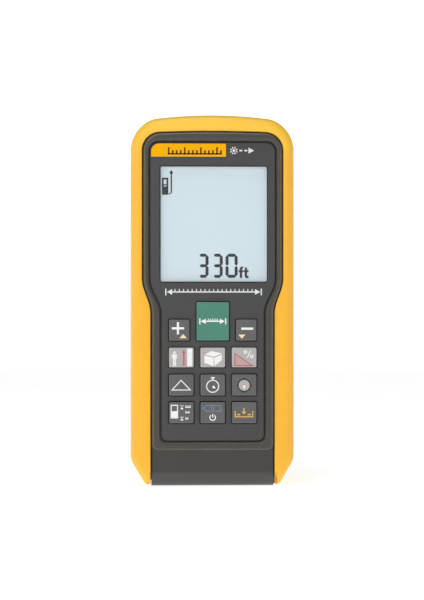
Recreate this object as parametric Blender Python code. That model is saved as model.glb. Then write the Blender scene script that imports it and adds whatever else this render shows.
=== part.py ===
"""Hand-held laser distance meter, standing on the rear end that it measures from.

Z runs from the rear end up to the lens end, X across the keypad, and -Y is the display side.
The origin is the middle of the rear end.  Sizes are in millimetres until a mesh is made.
"""

import math

import bmesh
import bpy
import numpy as np
from mathutils import Vector

MM = 0.001

# Overall size
LENGTH = 127.0
HALF_WIDTH = 28.0
BACK = 16.5
KEY_TOP = -16.5

# Outer shape seen from the front
TOP_CORNER = 8.5
TOP_CROWN = 2.1
FOOT_KNEE = 8.8
FOOT_LEAN = math.radians(31)
FOOT_LOW = 0.3
END_RADIUS = 5.0

# The waist, where the grip covers widen and the front narrows
WAIST_LOW = 59.4
WAIST_HIGH = 70.8

# Waisted outlines: half-widths above and below the waist, ends and corner radii
OPENING = dict(upper=24.1, lower=21.2, bottom=0.0, top=121.4, low_corner=0.7, top_corner=6.0, crown=0.6)
RIM = dict(OPENING, bottom=11.9, low_corner=2.8)
FACE = dict(upper=21.8, lower=18.1, bottom=15.25, top=118.1, low_corner=2.0, top_corner=3.0, crown=0.0)

# Levels through the depth
RIM_FRONT = -16.0
GRIP_FRONT = -15.4
GRIP_BACK = 15.9
END_FRONT = -15.2
FACE_FRONT = -15.4
FACE_BACK = -14.4
RECESS_FLOOR = -14.1
CAVITY_FRONT = -12.6
CAVITY_BACK = 14.9
SHOULDER = 13.4
PARTING = -7.4
BOARD_FRONT = -9.0
BOARD_BACK = -7.6

# Walls and gaps
GAP = 0.3
GRIP_THICKNESS = 2.0
WALL = 1.8
GROOVE = 0.5

# Display
DISPLAY_LOW = 70.35
DISPLAY_HIGH = 109.85
DISPLAY_HALF = 18.5
PANEL_LOW = 67.9
PANEL_HIGH = 110.9
PANEL_HALF = 19.5

# Keys: centre x, centre z, width, height
ROW_PITCH = 9.4
COLUMN_PITCH = 10.7
LOWEST_ROW = 25.3
KEY_WIDTH = 8.6
KEY_HEIGHT = 7.4
KEYS = {
    "key_measure": (0.0, 56.4, 11.3, 13.3),
    "key_plus": (-11.4, 53.4, 7.2, 7.4),
    "key_minus": (11.4, 53.4, 7.2, 7.4),
}
KEY_ROWS = (
    ("key_reference", "key_clear", "key_memory"),
    ("key_triangle", "key_timer", "key_compass"),
    ("key_height", "key_volume", "key_slope"),
)
for row, names in enumerate(KEY_ROWS):
    for column, key_name in enumerate(names):
        KEYS[key_name] = (
            (column - 1) * COLUMN_PITCH,
            LOWEST_ROW + row * ROW_PITCH,
            KEY_WIDTH,
            KEY_HEIGHT if row < 2 else KEY_HEIGHT - 0.5,
        )
KEY_CORNER = 0.45
KEYPAD_LOW = 19.9
KEYPAD_HIGH = 64.5
KEYPAD_HALF = 16.2

# Optics in the lens end
OPTIC_Y = 2.8
RECEIVER_X = -5.5
LASER_X = 10.5
RECEIVER_RADIUS = 8.2
LASER_RADIUS = 2.6
LENS_SEAT = 124.2
NOSE_HALF_WIDTH = 17.5
NOSE_HALF_DEPTH = 9.6

# Battery bay, open at the back under its door
CELL_RADIUS = 5.25
CELL_LENGTH = 44.5
CELL_X = 5.6
CELL_Y = 9.0
CELL_LOW = 40.0
BAY_HALF = 12.8
BAY_LOW = 35.6
BAY_HIGH = 87.0
BAY_FLOOR = 3.4
DOOR_HALF = 14.6
DOOR_LOW = 34.2
DOOR_HIGH = 89.0
DOOR_LEDGE = 14.0

# Fold-out bracket at the rear end
BRACKET_HALF = 12.0
BRACKET_SHIFT = 1.5
BRACKET_HIGH = 31.9
HINGE_Y = 13.4
HINGE_Z = 4.4
KNUCKLE_RADIUS = 2.7
PIN_RADIUS = 1.2
POCKET_FRONT = 10.1
POCKET_HIGH = 7.6
RECESS_BACK = 12.8
RECESS_HIGH = 32.3

# Tripod bush and case screws
BUSH_RADIUS = 4.4
THREAD_RADIUS = 3.175
BUSH_HIGH = 9.5
SCREWS = {
    "housing_screw_top_left": (-19.0, 115.0),
    "housing_screw_top_right": (19.0, 115.0),
    "housing_screw_low_left": (-17.2, 15.5),
    "housing_screw_low_right": (17.2, 15.5),
}
SCREW_HEAD_Y = 3.0
LABEL_Z = 104.5
LABEL_WIDTH = 29.0
LABEL_HEIGHT = 23.0

# Finishes: sRGB colour, roughness, metallic
YELLOW_ELASTOMER = ((252, 186, 60), 0.55, 0.0)
CHARCOAL_PLASTIC = ((74, 73, 70), 0.5, 0.0)
FACE_PLASTIC = ((80, 81, 80), 0.42, 0.0)
KEY_RUBBER = ((106, 106, 104), 0.6, 0.0)
PALE_KEY_RUBBER = ((187, 184, 177), 0.6, 0.0)
GREEN_KEY_RUBBER = ((84, 137, 118), 0.6, 0.0)
BLACK_RUBBER = ((32, 32, 33), 0.7, 0.0)
CLEAR_PLASTIC = ((225, 232, 235), 0.05, 0.0)
DISPLAY_GLASS = ((210, 225, 232), 0.2, 0.0)
WHITE_PLASTIC = ((235, 235, 230), 0.4, 0.0)
BOARD_GREEN = ((30, 92, 58), 0.45, 0.0)
CHIP_BLACK = ((28, 28, 30), 0.5, 0.0)
BRASS = ((196, 160, 88), 0.3, 1.0)
STEEL = ((190, 190, 188), 0.3, 1.0)
GLASS = ((215, 225, 230), 0.03, 0.0)
CELL_SKIN = ((60, 66, 78), 0.35, 0.3)
LABEL_GREY = ((196, 197, 196), 0.4, 0.0)


# ---- outlines ---------------------------------------------------------------

def arc(centre_x, centre_z, radius, start, end, steps):
    """Points on an arc, angles in degrees."""
    angles = np.radians(np.linspace(start, end, steps + 1))
    return [(centre_x + radius * math.cos(a), centre_z + radius * math.sin(a)) for a in angles]


def corner_arc(before, corner, after, radius, steps=2):
    """The arc of this radius that rounds one corner of an outline."""
    corner = Vector(corner)
    towards_before = (Vector(before) - corner).normalized()
    towards_after = (Vector(after) - corner).normalized()
    half_angle = towards_before.angle(towards_after) / 2
    start = corner + towards_before * radius / math.tan(half_angle)
    end = corner + towards_after * radius / math.tan(half_angle)
    middle = (towards_before + towards_after).normalized()
    centre = corner + middle * radius / math.sin(half_angle)
    points = []
    for step in range(steps + 1):
        spoke = (start - centre).slerp(end - centre, step / steps)
        points.append(tuple(centre + spoke))
    return points


def mirrored(right_half):
    """A whole outline from its right half, which runs from the bottom up to the middle of the top."""
    return right_half + [(-x, z) for x, z in reversed(right_half) if x > 1e-6]


def body_outline(inset=0.0, low=FOOT_LOW):
    """The meter seen from the front: straight sides, crowned top, feet cut away at an angle."""
    side = HALF_WIDTH - inset
    top = LENGTH - TOP_CROWN - inset
    radius = max(TOP_CORNER - inset, 1.0)
    knee = FOOT_KNEE + inset * math.tan(FOOT_LEAN / 2)
    tip = side - (knee - low) * math.tan(FOOT_LEAN)
    half = corner_arc((0, low), (tip, low), (side, knee), 0.8)
    half += corner_arc((tip, low), (side, knee), (side, top), 4.0)
    head = arc(side - radius, top - radius, radius, 0, 90, 5)
    head += [((side - radius) * share, top) for share in (0.66, 0.33, 0.0)]
    half += [(x, z + TOP_CROWN * (1 - (x / side) ** 2)) for x, z in head]
    return mirrored(half)


def waisted_outline(shape, inset=0.0, low=None):
    """A front outline that is narrower below the waist, with an easy S between its two widths."""
    upper = shape["upper"] - inset
    lower = shape["lower"] - inset
    top = shape["top"] - inset
    bottom = shape["bottom"] + inset if low is None else low
    low_radius = max(shape["low_corner"] - inset, 0.4)
    top_radius = max(shape["top_corner"] - inset, 0.4)
    half = arc(lower - low_radius, bottom + low_radius, low_radius, -90, 0, 3)
    for share in np.linspace(0, 1, 7):
        ease = share * share * (3 - 2 * share)
        half.append((lower + (upper - lower) * ease, WAIST_LOW + (WAIST_HIGH - WAIST_LOW) * share))
    head = arc(upper - top_radius, top - top_radius, top_radius, 0, 90, 4)
    if shape["crown"]:
        head += [((upper - top_radius) * share, top) for share in (0.5, 0.0)]
    half += [(x, z + shape["crown"] * (1 - (x / upper) ** 2)) for x, z in head]
    return mirrored(half)


def rounded_rectangle(x, z, width, height, radius, steps=2):
    """Outline of a rectangle with round corners about a centre."""
    right = x + width / 2 - radius
    left = x - width / 2 + radius
    high = z + height / 2 - radius
    low = z - height / 2 + radius
    points = arc(right, low, radius, -90, 0, steps)
    points += arc(right, high, radius, 0, 90, steps)
    points += arc(left, high, radius, 90, 180, steps)
    points += arc(left, low, radius, 180, 270, steps)
    return points


def end_rise(depth):
    """How far the rounded rear end has risen at this depth."""
    into_front = max(END_FRONT + END_RADIUS - depth, 0.0)
    into_back = max(depth - (BACK - END_RADIUS), 0.0)
    reach = min(max(into_front, into_back), END_RADIUS)
    return END_RADIUS - math.sqrt(END_RADIUS ** 2 - reach ** 2)


def edge_sections(face, inset, run, drop, steps):
    """(depth, inset) pairs that round an edge over from a face: run sideways, drop in depth."""
    towards_middle = -math.copysign(1, face)
    sections = []
    for angle in np.radians(np.linspace(90, 0, steps + 1)):
        depth = face + towards_middle * drop * (1 - math.sin(angle))
        sections.append((depth, inset + run * (1 - math.cos(angle))))
    return sections


# ---- solids -----------------------------------------------------------------

def add_loft(bm, rings):
    """A closed solid through rings of equal point counts, capped flat at both ends."""
    loops = [[bm.verts.new(Vector(point) * MM) for point in ring] for ring in rings]
    faces = []
    for near, far in zip(loops, loops[1:]):
        for here in range(len(near)):
            following = (here + 1) % len(near)
            faces.append(bm.faces.new((near[here], near[following], far[following], far[here])))
    faces.append(bm.faces.new(loops[0]))
    faces.append(bm.faces.new(loops[-1]))
    bmesh.ops.recalc_face_normals(bm, faces=faces)


def add_outline_loft(bm, sections):
    """A solid through (outline, depth) pairs along Y."""
    add_loft(bm, [[(x, depth, z) for x, z in outline] for outline, depth in sections])


def add_block(bm, low, high):
    """A box between two opposite corners."""
    x0, y0, z0 = low
    x1, y1, z1 = high
    add_loft(bm, [[(x0, y, z0), (x1, y, z0), (x1, y, z1), (x0, y, z1)] for y in (y0, y1)])


def add_turned(bm, profile, centre, axis="Z", segments=20):
    """A turned solid from (radius, height) pairs, its centre given in the plane across the axis."""
    rings = []
    for radius, height in profile:
        ring = []
        for step in range(segments):
            angle = 2 * math.pi * step / segments
            across = centre[0] + radius * math.cos(angle)
            along = centre[1] + radius * math.sin(angle)
            if axis == "Z":
                ring.append((across, along, height))
            elif axis == "Y":
                ring.append((across, height, along))
            else:
                ring.append((height, across, along))
        rings.append(ring)
    add_loft(bm, rings)


def linear(colour):
    """Linear values of an sRGB colour given as 0 to 255."""
    return [((c / 255 + 0.055) / 1.055) ** 2.4 if c > 10 else c / 255 / 12.92 for c in colour]


def dress(item, finish):
    """Give an object its own Principled material."""
    colour, roughness, metallic = finish
    made = bpy.data.materials.new(item.name + "_finish")
    made.use_nodes = True
    shader = made.node_tree.nodes["Principled BSDF"]
    shader.inputs["Base Color"].default_value = (*linear(colour), 1.0)
    shader.inputs["Roughness"].default_value = roughness
    shader.inputs["Metallic"].default_value = metallic
    if finish in (CLEAR_PLASTIC, GLASS):
        shader.inputs["Transmission Weight"].default_value = 0.9
    item.data.materials.clear()
    item.data.materials.append(made)


def make(name, bm):
    """An object from finished geometry."""
    mesh = bpy.data.meshes.new(name)
    bm.to_mesh(mesh)
    bm.free()
    item = bpy.data.objects.new(name, mesh)
    bpy.context.scene.collection.objects.link(item)
    return item


def combine(item, tool, operation):
    """Union, difference or intersection with a tool mesh, which is used up."""
    cutter = make("tool", tool)
    modifier = item.modifiers.new("cut", "BOOLEAN")
    modifier.operation = operation
    modifier.solver = "EXACT"
    modifier.object = cutter
    graph = bpy.context.evaluated_depsgraph_get()
    mesh = bpy.data.meshes.new_from_object(item.evaluated_get(graph))
    item.modifiers.clear()
    item.data = mesh
    bpy.data.objects.remove(cutter)


def cut(item, tool):
    combine(item, tool, "DIFFERENCE")


def unite(item, tool):
    combine(item, tool, "UNION")


def duplicate(item, name):
    twin = bpy.data.objects.new(name, item.data.copy())
    bpy.context.scene.collection.objects.link(twin)
    return twin


def keep_between(item, near, far):
    """Keep what lies between two depths."""
    slab = bmesh.new()
    add_block(slab, (-60, near, -40), (60, far, 180))
    combine(item, slab, "INTERSECT")


def smooth(item, angle=35):
    item.data.shade_smooth()
    item.data.set_sharp_from_angle(angle=math.radians(angle))


def finish(item, look):
    smooth(item)
    dress(item, look)
    return item


def move_origin(item, point):
    """Put an object's origin on this point without moving its mesh in the world."""
    shift = Vector(point) * MM
    for vertex in item.data.vertices:
        vertex.co -= shift
    item.location = shift


# ---- case -------------------------------------------------------------------

def body_rings(bm, sections, fixed_low=None):
    """A solid of the body outline through (depth, inset) sections."""
    rings = []
    for depth, inset in sections:
        low = FOOT_LOW + end_rise(depth) if fixed_low is None else fixed_low
        rings.append((body_outline(inset, low), depth))
    add_outline_loft(bm, rings)


def shoulder_solid(extra=0.0):
    """The hidden shoulders under the grip covers, grown by an extra clearance where asked."""
    edge = SHOULDER + extra
    inset = GRIP_THICKNESS - extra
    sections = [(-edge, inset + 1.2), (-edge + 0.5, inset + 0.35), (-edge + 1.4, inset)]
    sections += [(-depth, size) for depth, size in reversed(sections)]
    bm = bmesh.new()
    body_rings(bm, sections, fixed_low=FOOT_LOW + GRIP_THICKNESS - extra)
    return bm


def core_solid():
    """The dark core, which fills the grip covers' opening from front to back and forms the rear end."""
    sections = edge_sections(END_FRONT, GAP, 0.8, 0.9, 3)
    for depth in (-12.9, -11.6, END_FRONT + END_RADIUS, BACK - END_RADIUS, 12.9, 14.2):
        sections.append((depth, GAP))
    sections += reversed(edge_sections(BACK, GAP, 1.5, 1.5, 3))
    bm = bmesh.new()
    rings = [(waisted_outline(OPENING, inset, end_rise(depth)), depth) for depth, inset in sections]
    add_outline_loft(bm, rings)
    return bm


def rim_solid():
    """The raised rim round the faceplate, rounded over its top."""
    sections = edge_sections(RIM_FRONT, GAP + 0.15, 0.9, 0.9, 3)
    sections.append((RECESS_FLOOR + 0.6, GAP + 0.15))
    bm = bmesh.new()
    add_outline_loft(bm, [(waisted_outline(RIM, inset), depth) for depth, inset in sections])
    return bm


def cavity_solids():
    """The hollow of the case, as one wide shallow solid and one deep one inside the core."""
    wide = bmesh.new()
    body_rings(wide, [(-12.0, 4.4), (12.0, 4.4)], fixed_low=6.0)
    deep = bmesh.new()
    outline = waisted_outline(OPENING, GAP + WALL, 2.8)
    add_outline_loft(deep, [(outline, CAVITY_FRONT), (outline, CAVITY_BACK)])
    return wide, deep


def nose_outline(clearance=0.0):
    """Round-cornered outline of the lens end's opening, in X and Y."""
    width = 2 * (NOSE_HALF_WIDTH - clearance)
    depth = 2 * (NOSE_HALF_DEPTH - clearance)
    return rounded_rectangle(0, OPTIC_Y, width, depth, 4.3 - clearance, 3)


def nose_solid(sections):
    """A solid along Z of the nose outline through (height, clearance) pairs."""
    bm = bmesh.new()
    add_loft(bm, [[(x, y, height) for x, y in nose_outline(gap)] for height, gap in sections])
    return bm


def build_case():
    """Both halves of the case with their bosses, bay, bracket pocket and openings, and the seal between."""
    shell = make("front_housing", shoulder_solid())
    unite(shell, core_solid())
    unite(shell, rim_solid())
    for hollow in cavity_solids():
        cut(shell, hollow)
    rear = duplicate(shell, "rear_housing")
    seal = duplicate(shell, "housing_seal")
    keep_between(shell, -40, PARTING - 0.35)
    keep_between(seal, PARTING - 0.15, PARTING + 0.15)
    keep_between(rear, PARTING + 0.35, 40)
    finish_front_housing(shell)
    finish_rear_housing(rear)
    finish(shell, CHARCOAL_PLASTIC)
    finish(rear, CHARCOAL_PLASTIC)
    finish(seal, BLACK_RUBBER)


def finish_front_housing(shell):
    """Faceplate recess, display and keypad apertures, and the screw bosses."""
    recess = bmesh.new()
    levels = [(RECESS_FLOOR, -GROOVE), (RIM_FRONT + 0.35, -GROOVE), (RIM_FRONT - 1.5, -GROOVE - 1.0)]
    add_outline_loft(recess, [(waisted_outline(FACE, inset), depth) for depth, inset in levels])
    cut(shell, recess)
    apertures = bmesh.new()
    window = rounded_rectangle(
        0, (PANEL_LOW + PANEL_HIGH) / 2, 2 * (PANEL_HALF + GAP), PANEL_HIGH - PANEL_LOW + 2 * GAP, 1.0
    )
    middle = (KEYPAD_LOW + KEYPAD_HIGH) / 2
    keypad = rounded_rectangle(0, middle, 2 * KEYPAD_HALF, KEYPAD_HIGH - KEYPAD_LOW, 2.0)
    for outline in (window, keypad):
        add_outline_loft(apertures, [(outline, -20), (outline, CAVITY_FRONT + 1)])
    cut(shell, apertures)
    bosses = bmesh.new()
    holes = bmesh.new()
    for x, z in SCREWS.values():
        add_turned(bosses, [(2.4, CAVITY_FRONT - 0.4), (2.3, PARTING - 0.35)], (x, z), "Y", 16)
        add_turned(holes, [(1.3, CAVITY_FRONT + 0.4), (1.3, PARTING + 2)], (x, z), "Y", 12)
    unite(shell, bosses)
    cut(shell, holes)


def finish_rear_housing(shell):
    """Screw towers, battery bay, bracket pocket, tripod boss, lens seat and label recess."""
    towers = bmesh.new()
    for x, z in SCREWS.values():
        add_turned(towers, [(3.2, PARTING + 0.35), (3.2, CAVITY_BACK + 0.4)], (x, z), "Y", 16)
    unite(shell, towers)
    tripod_boss = bmesh.new()
    add_turned(tripod_boss, [(6.4, 1.0), (6.4, BUSH_HIGH + 1.8)], (0, 0), "Z", 24)
    unite(shell, tripod_boss)
    pocket_walls = bmesh.new()
    left = -BRACKET_HALF - GAP - 1.6
    right = BRACKET_HALF + BRACKET_SHIFT + GAP + 1.6
    profile = [
        (POCKET_FRONT - 1.6, 1.2),
        (POCKET_FRONT - 1.6, POCKET_HIGH + 1.6),
        (RECESS_BACK - 1.6, POCKET_HIGH + 1.6),
        (RECESS_BACK - 1.6, RECESS_HIGH + 1.6),
        (BACK - 0.9, RECESS_HIGH + 1.6),
        (BACK - 0.9, 1.2),
    ]
    add_loft(pocket_walls, [[(x, y, z) for y, z in profile] for x in (left, right)])
    unite(shell, pocket_walls)
    ears = bmesh.new()
    for inner, outer in ((left + 1.0, left - 1.4), (right - 1.0, right + 1.4)):
        low_x, high_x = sorted((inner, outer))
        add_block(ears, (low_x, POCKET_FRONT - 1.2, 1.5), (high_x, BACK - 1.2, POCKET_HIGH + 1.3))
    unite(shell, ears)
    bay_walls = bmesh.new()
    add_block(
        bay_walls,
        (-DOOR_HALF - 1.3, BAY_FLOOR - 1.4, DOOR_LOW - 1.2),
        (DOOR_HALF + 1.3, CAVITY_BACK + 0.7, DOOR_HIGH + 1.3),
    )
    unite(shell, bay_walls)

    bay = bmesh.new()
    add_block(bay, (-BAY_HALF, BAY_FLOOR, BAY_LOW), (BAY_HALF, 30, BAY_HIGH))
    cut(shell, bay)
    door_recess = bmesh.new()
    outline = door_outline(0.0)
    add_outline_loft(door_recess, [(outline, DOOR_LEDGE), (outline, 30)])
    cut(shell, door_recess)
    cradle = bmesh.new()
    add_block(cradle, (-0.35, BAY_FLOOR - 0.5, BAY_LOW - 0.4), (0.35, CELL_Y - 3.4, BAY_HIGH + 0.4))
    unite(shell, cradle)
    pocket = bmesh.new()
    profile = [
        (POCKET_FRONT, -5),
        (POCKET_FRONT, POCKET_HIGH),
        (RECESS_BACK, POCKET_HIGH),
        (RECESS_BACK, RECESS_HIGH),
        (30, RECESS_HIGH),
        (30, -5),
    ]
    sides = (left + 1.6, right - 1.6)
    add_loft(pocket, [[(x, y, z) for y, z in profile] for x in sides])
    cut(shell, pocket)
    pin_hole = bmesh.new()
    add_turned(pin_hole, [(PIN_RADIUS + GAP, left), (PIN_RADIUS + GAP, right)], (HINGE_Y, HINGE_Z), "X", 16)
    cut(shell, pin_hole)

    bush_hole = bmesh.new()
    add_turned(bush_hole, [(BUSH_RADIUS + GAP, -5), (BUSH_RADIUS + GAP, BUSH_HIGH + GAP)], (0, 0), "Z", 24)
    cut(shell, bush_hole)
    screw_holes = bmesh.new()
    for x, z in SCREWS.values():
        profile = [(1.3, PARTING - 2), (1.3, SCREW_HEAD_Y - GAP), (2.1, SCREW_HEAD_Y - GAP), (2.1, 30)]
        add_turned(screw_holes, profile, (x, z), "Y", 16)
    cut(shell, screw_holes)
    cut(shell, nose_solid([(LENS_SEAT, 0.0), (140, 0.0)]))
    sight_holes = bmesh.new()
    for x, radius, segments in ((RECEIVER_X, RECEIVER_RADIUS, 24), (LASER_X, LASER_RADIUS, 16)):
        add_turned(sight_holes, [(radius - 0.2, 119), (radius - 0.2, 126)], (x, OPTIC_Y), "Z", segments)
    cut(shell, sight_holes)
    label_recess = bmesh.new()
    outline = rounded_rectangle(0, LABEL_Z, LABEL_WIDTH + 2 * GAP, LABEL_HEIGHT + 2 * GAP, 1.5)
    add_outline_loft(label_recess, [(outline, BACK - 0.7), (outline, 30)])
    cut(shell, label_recess)


def build_grip_covers():
    """The yellow elastomer moulded round each half, open down the front, the back and the rear end."""
    sections = edge_sections(GRIP_FRONT, 0.0, 3.0, 4.5, 4)
    sections.append((0.0, 0.0))
    sections += reversed(edge_sections(GRIP_BACK, 0.25, 3.0, 4.5, 4))
    bm = bmesh.new()
    body_rings(bm, sections)
    front = make("front_overmould", bm)
    cut(front, shoulder_solid(GAP))
    opening = bmesh.new()
    outline = waisted_outline(OPENING, 0.0, -10.0)
    add_outline_loft(opening, [(outline, -40), (outline, 40)])
    cut(front, opening)
    rear = duplicate(front, "rear_overmould")
    keep_between(front, -40, PARTING - 0.15)
    keep_between(rear, PARTING + 0.15, 40)
    cut(rear, nose_solid([(118, 0.0), (125.6, 0.0), (128.5, -1.0)]))
    finish(front, YELLOW_ELASTOMER)
    finish(rear, YELLOW_ELASTOMER)


# ---- front ------------------------------------------------------------------

def key_outline(name, grow=0.0, x=None, z=None, steps=2):
    """A key's outline, grown on all sides, about its own centre or a given point."""
    centre_x, centre_z, width, height = KEYS[name]
    centre_x = centre_x if x is None else x
    centre_z = centre_z if z is None else z
    radius = max(KEY_CORNER + grow, 0.3)
    return rounded_rectangle(centre_x, centre_z, width + 2 * grow, height + 2 * grow, radius, steps)


def build_faceplate():
    """Flat plate with the display opening and twelve key openings."""
    bm = bmesh.new()
    levels = [(FACE_BACK, 0.0), (FACE_FRONT + 0.25, 0.0), (FACE_FRONT, 0.25)]
    add_outline_loft(bm, [(waisted_outline(FACE, inset), depth) for depth, inset in levels])
    plate = make("faceplate", bm)
    openings = bmesh.new()
    middle = (DISPLAY_LOW + DISPLAY_HIGH) / 2
    outlines = [rounded_rectangle(0, middle, 2 * DISPLAY_HALF, DISPLAY_HIGH - DISPLAY_LOW, 0.9, 4)]
    outlines += [key_outline(name, 0.35) for name in KEYS]
    for outline in outlines:
        add_outline_loft(openings, [(outline, -20), (outline, -12)])
    cut(plate, openings)
    finish(plate, FACE_PLASTIC)


def build_keys():
    """Twelve rubber keys: stem, retaining flange, and a body with a rounded top edge."""
    levels = (
        (-10.9, None, 1.6),
        (-11.9, None, 1.6),
        (-11.9, 0.5, None),
        (-12.55, 0.5, None),
        (-12.55, 0.0, None),
        (KEY_TOP + 0.5, -0.1, None),
        (KEY_TOP + 0.15, -0.25, None),
        (KEY_TOP, -0.6, None),
    )
    for name, (x, z, _, _) in KEYS.items():
        bm = bmesh.new()
        sections = []
        for depth, grow, stem in levels:
            if stem:
                outline = rounded_rectangle(0, 0, 2 * stem, 2 * stem, 0.6)
            else:
                outline = key_outline(name, grow, 0, 0)
            sections.append((outline, depth - FACE_FRONT))
        add_outline_loft(bm, sections)
        key = make(name, bm)
        key.location = Vector((x, FACE_FRONT, z)) * MM
        look = KEY_RUBBER
        if name == "key_measure":
            look = GREEN_KEY_RUBBER
        elif name in KEY_ROWS[2]:
            look = PALE_KEY_RUBBER
        finish(key, look)


def build_keypad():
    """Rubber web that guides the keys, and the sheet of snap domes under it."""
    margin = GAP
    web = bmesh.new()
    middle = (KEYPAD_LOW + KEYPAD_HIGH) / 2
    width = 2 * (KEYPAD_HALF - margin)
    outline = rounded_rectangle(0, middle, width, KEYPAD_HIGH - KEYPAD_LOW - 2 * margin, 1.8)
    add_outline_loft(web, [(outline, -13.9), (outline, -12.9)])
    keymat = make("keymat", web)
    holes = bmesh.new()
    for name in KEYS:
        outline = key_outline(name, GAP, steps=1)
        add_outline_loft(holes, [(outline, -15), (outline, -11)])
    cut(keymat, holes)
    finish(keymat, BLACK_RUBBER)

    sheet = bmesh.new()
    outline = rounded_rectangle(0, middle, width, KEYPAD_HIGH - KEYPAD_LOW, 1.5)
    add_outline_loft(sheet, [(outline, -9.6), (outline, -9.3)])
    domes = make("dome_sheet", sheet)
    bumps = bmesh.new()
    for x, z, _, _ in KEYS.values():
        add_turned(bumps, [(2.4, -9.45), (1.6, -9.9)], (x, z), "Y", 10)
    unite(domes, bumps)
    finish(domes, STEEL)


def build_display():
    """Clear window, liquid crystal panel, backlight and the striped connector to the board."""
    middle = (DISPLAY_LOW + DISPLAY_HIGH) / 2
    window = bmesh.new()
    width = 2 * (DISPLAY_HALF - GAP)
    height = DISPLAY_HIGH - DISPLAY_LOW - 2 * GAP
    for_edge = [(FACE_BACK + 0.1, 0.0), (FACE_FRONT + 0.35, 0.0), (FACE_FRONT + 0.15, 0.2)]
    sections = [
        (rounded_rectangle(0, middle, width - 2 * inset, height - 2 * inset, 0.7), depth)
        for depth, inset in for_edge
    ]
    add_outline_loft(window, sections)
    finish(make("display_window", window), CLEAR_PLASTIC)

    panel_middle = (PANEL_LOW + PANEL_HIGH) / 2
    panel_height = PANEL_HIGH - PANEL_LOW
    panel = bmesh.new()
    outline = rounded_rectangle(0, panel_middle, 2 * PANEL_HALF, panel_height, 0.5, 1)
    polariser = rounded_rectangle(0, panel_middle + 0.8, 2 * PANEL_HALF - 1.0, panel_height - 2.6, 0.5, 1)
    add_outline_loft(panel, [(polariser, -13.9), (polariser, -13.6), (outline, -13.6), (outline, -12.1)])
    finish(make("lcd_panel", panel), DISPLAY_GLASS)

    light = bmesh.new()
    low = PANEL_LOW + 2.9
    outline = rounded_rectangle(0, (low + PANEL_HIGH) / 2, 2 * PANEL_HALF, PANEL_HIGH - low, 0.8)
    add_outline_loft(light, [(outline, -11.8), (outline, -10.0)])
    backlight = make("backlight", light)
    clips = bmesh.new()
    for side in (-1, 1):
        for z in (low + 8, PANEL_HIGH - 8):
            inner, outer = sorted((side * (PANEL_HALF - 0.6), side * (PANEL_HALF + 0.9)))
            add_block(clips, (inner, -11.5, z - 2), (outer, -10.3, z + 2))
    unite(backlight, clips)
    finish(backlight, WHITE_PLASTIC)

    strip = bmesh.new()
    add_block(strip, (-17, -11.8, PANEL_LOW + 0.3), (17, BOARD_FRONT - GAP, PANEL_LOW + 2.4))
    finish(make("lcd_connector", strip), BLACK_RUBBER)


# ---- electronics ------------------------------------------------------------

def build_electronics():
    """Main board and what it carries."""
    bm = bmesh.new()
    shape = dict(upper=20.5, lower=17.6, bottom=19.0, top=112.0, low_corner=1.5, top_corner=1.5, crown=0.0)
    outline = waisted_outline(shape)
    add_outline_loft(bm, [(outline, BOARD_FRONT), (outline, BOARD_BACK)])
    board = make("main_board", bm)
    holes = bmesh.new()
    for x, z in ((-18.2, 74.0), (18.2, 74.0), (-15.0, 22.0), (15.0, 22.0), (0.0, 108.5)):
        add_turned(holes, [(1.1, -12), (1.1, -5)], (x, z), "Y", 10)
    cut(board, holes)
    finish(board, BOARD_GREEN)

    on_board = BOARD_BACK + GAP
    chip_x, chip_z, half = -6.0, 52.0, 6.0
    body = bmesh.new()
    levels = ((on_board, 0.15), (on_board + 0.6, 0.0), (on_board + 1.2, 0.15))
    add_outline_loft(
        body,
        [(rounded_rectangle(chip_x, chip_z, 2 * (half - i), 2 * (half - i), 0.4, 1), y) for y, i in levels],
    )
    chip = make("processor_chip", body)
    leads = bmesh.new()
    for number in range(6):
        along = (number - 2.5) * 1.7
        for side in (-1, 1):
            inner, outer = sorted((side * (half - 0.5), side * (half + 1.0)))
            bottom, top = on_board + 0.05, on_board + 0.35
            near, far = along - 0.25, along + 0.25
            add_block(leads, (chip_x + inner, bottom, chip_z + near), (chip_x + outer, top, chip_z + far))
            add_block(leads, (chip_x + near, bottom, chip_z + inner), (chip_x + far, top, chip_z + outer))
    unite(chip, leads)
    finish(chip, CHIP_BLACK)

    sensor = bmesh.new()
    outline = rounded_rectangle(9.0, 58.0, 4.0, 4.0, 0.3, 1)
    inner = rounded_rectangle(9.0, 58.0, 3.6, 3.6, 0.3, 1)
    add_outline_loft(sensor, [(outline, on_board), (outline, on_board + 1.2), (inner, on_board + 1.4)])
    finish(make("tilt_sensor", sensor), STEEL)

    sounder = bmesh.new()
    top = on_board + 2.2
    profile = [(5.5, on_board), (5.5, top - 0.3), (5.1, top), (1.0, top), (1.0, top - 1.0)]
    add_turned(sounder, profile, (7.0, 32.0), "Y", 20)
    finish(make("buzzer", sounder), CHIP_BLACK)


# ---- optics -----------------------------------------------------------------

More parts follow.
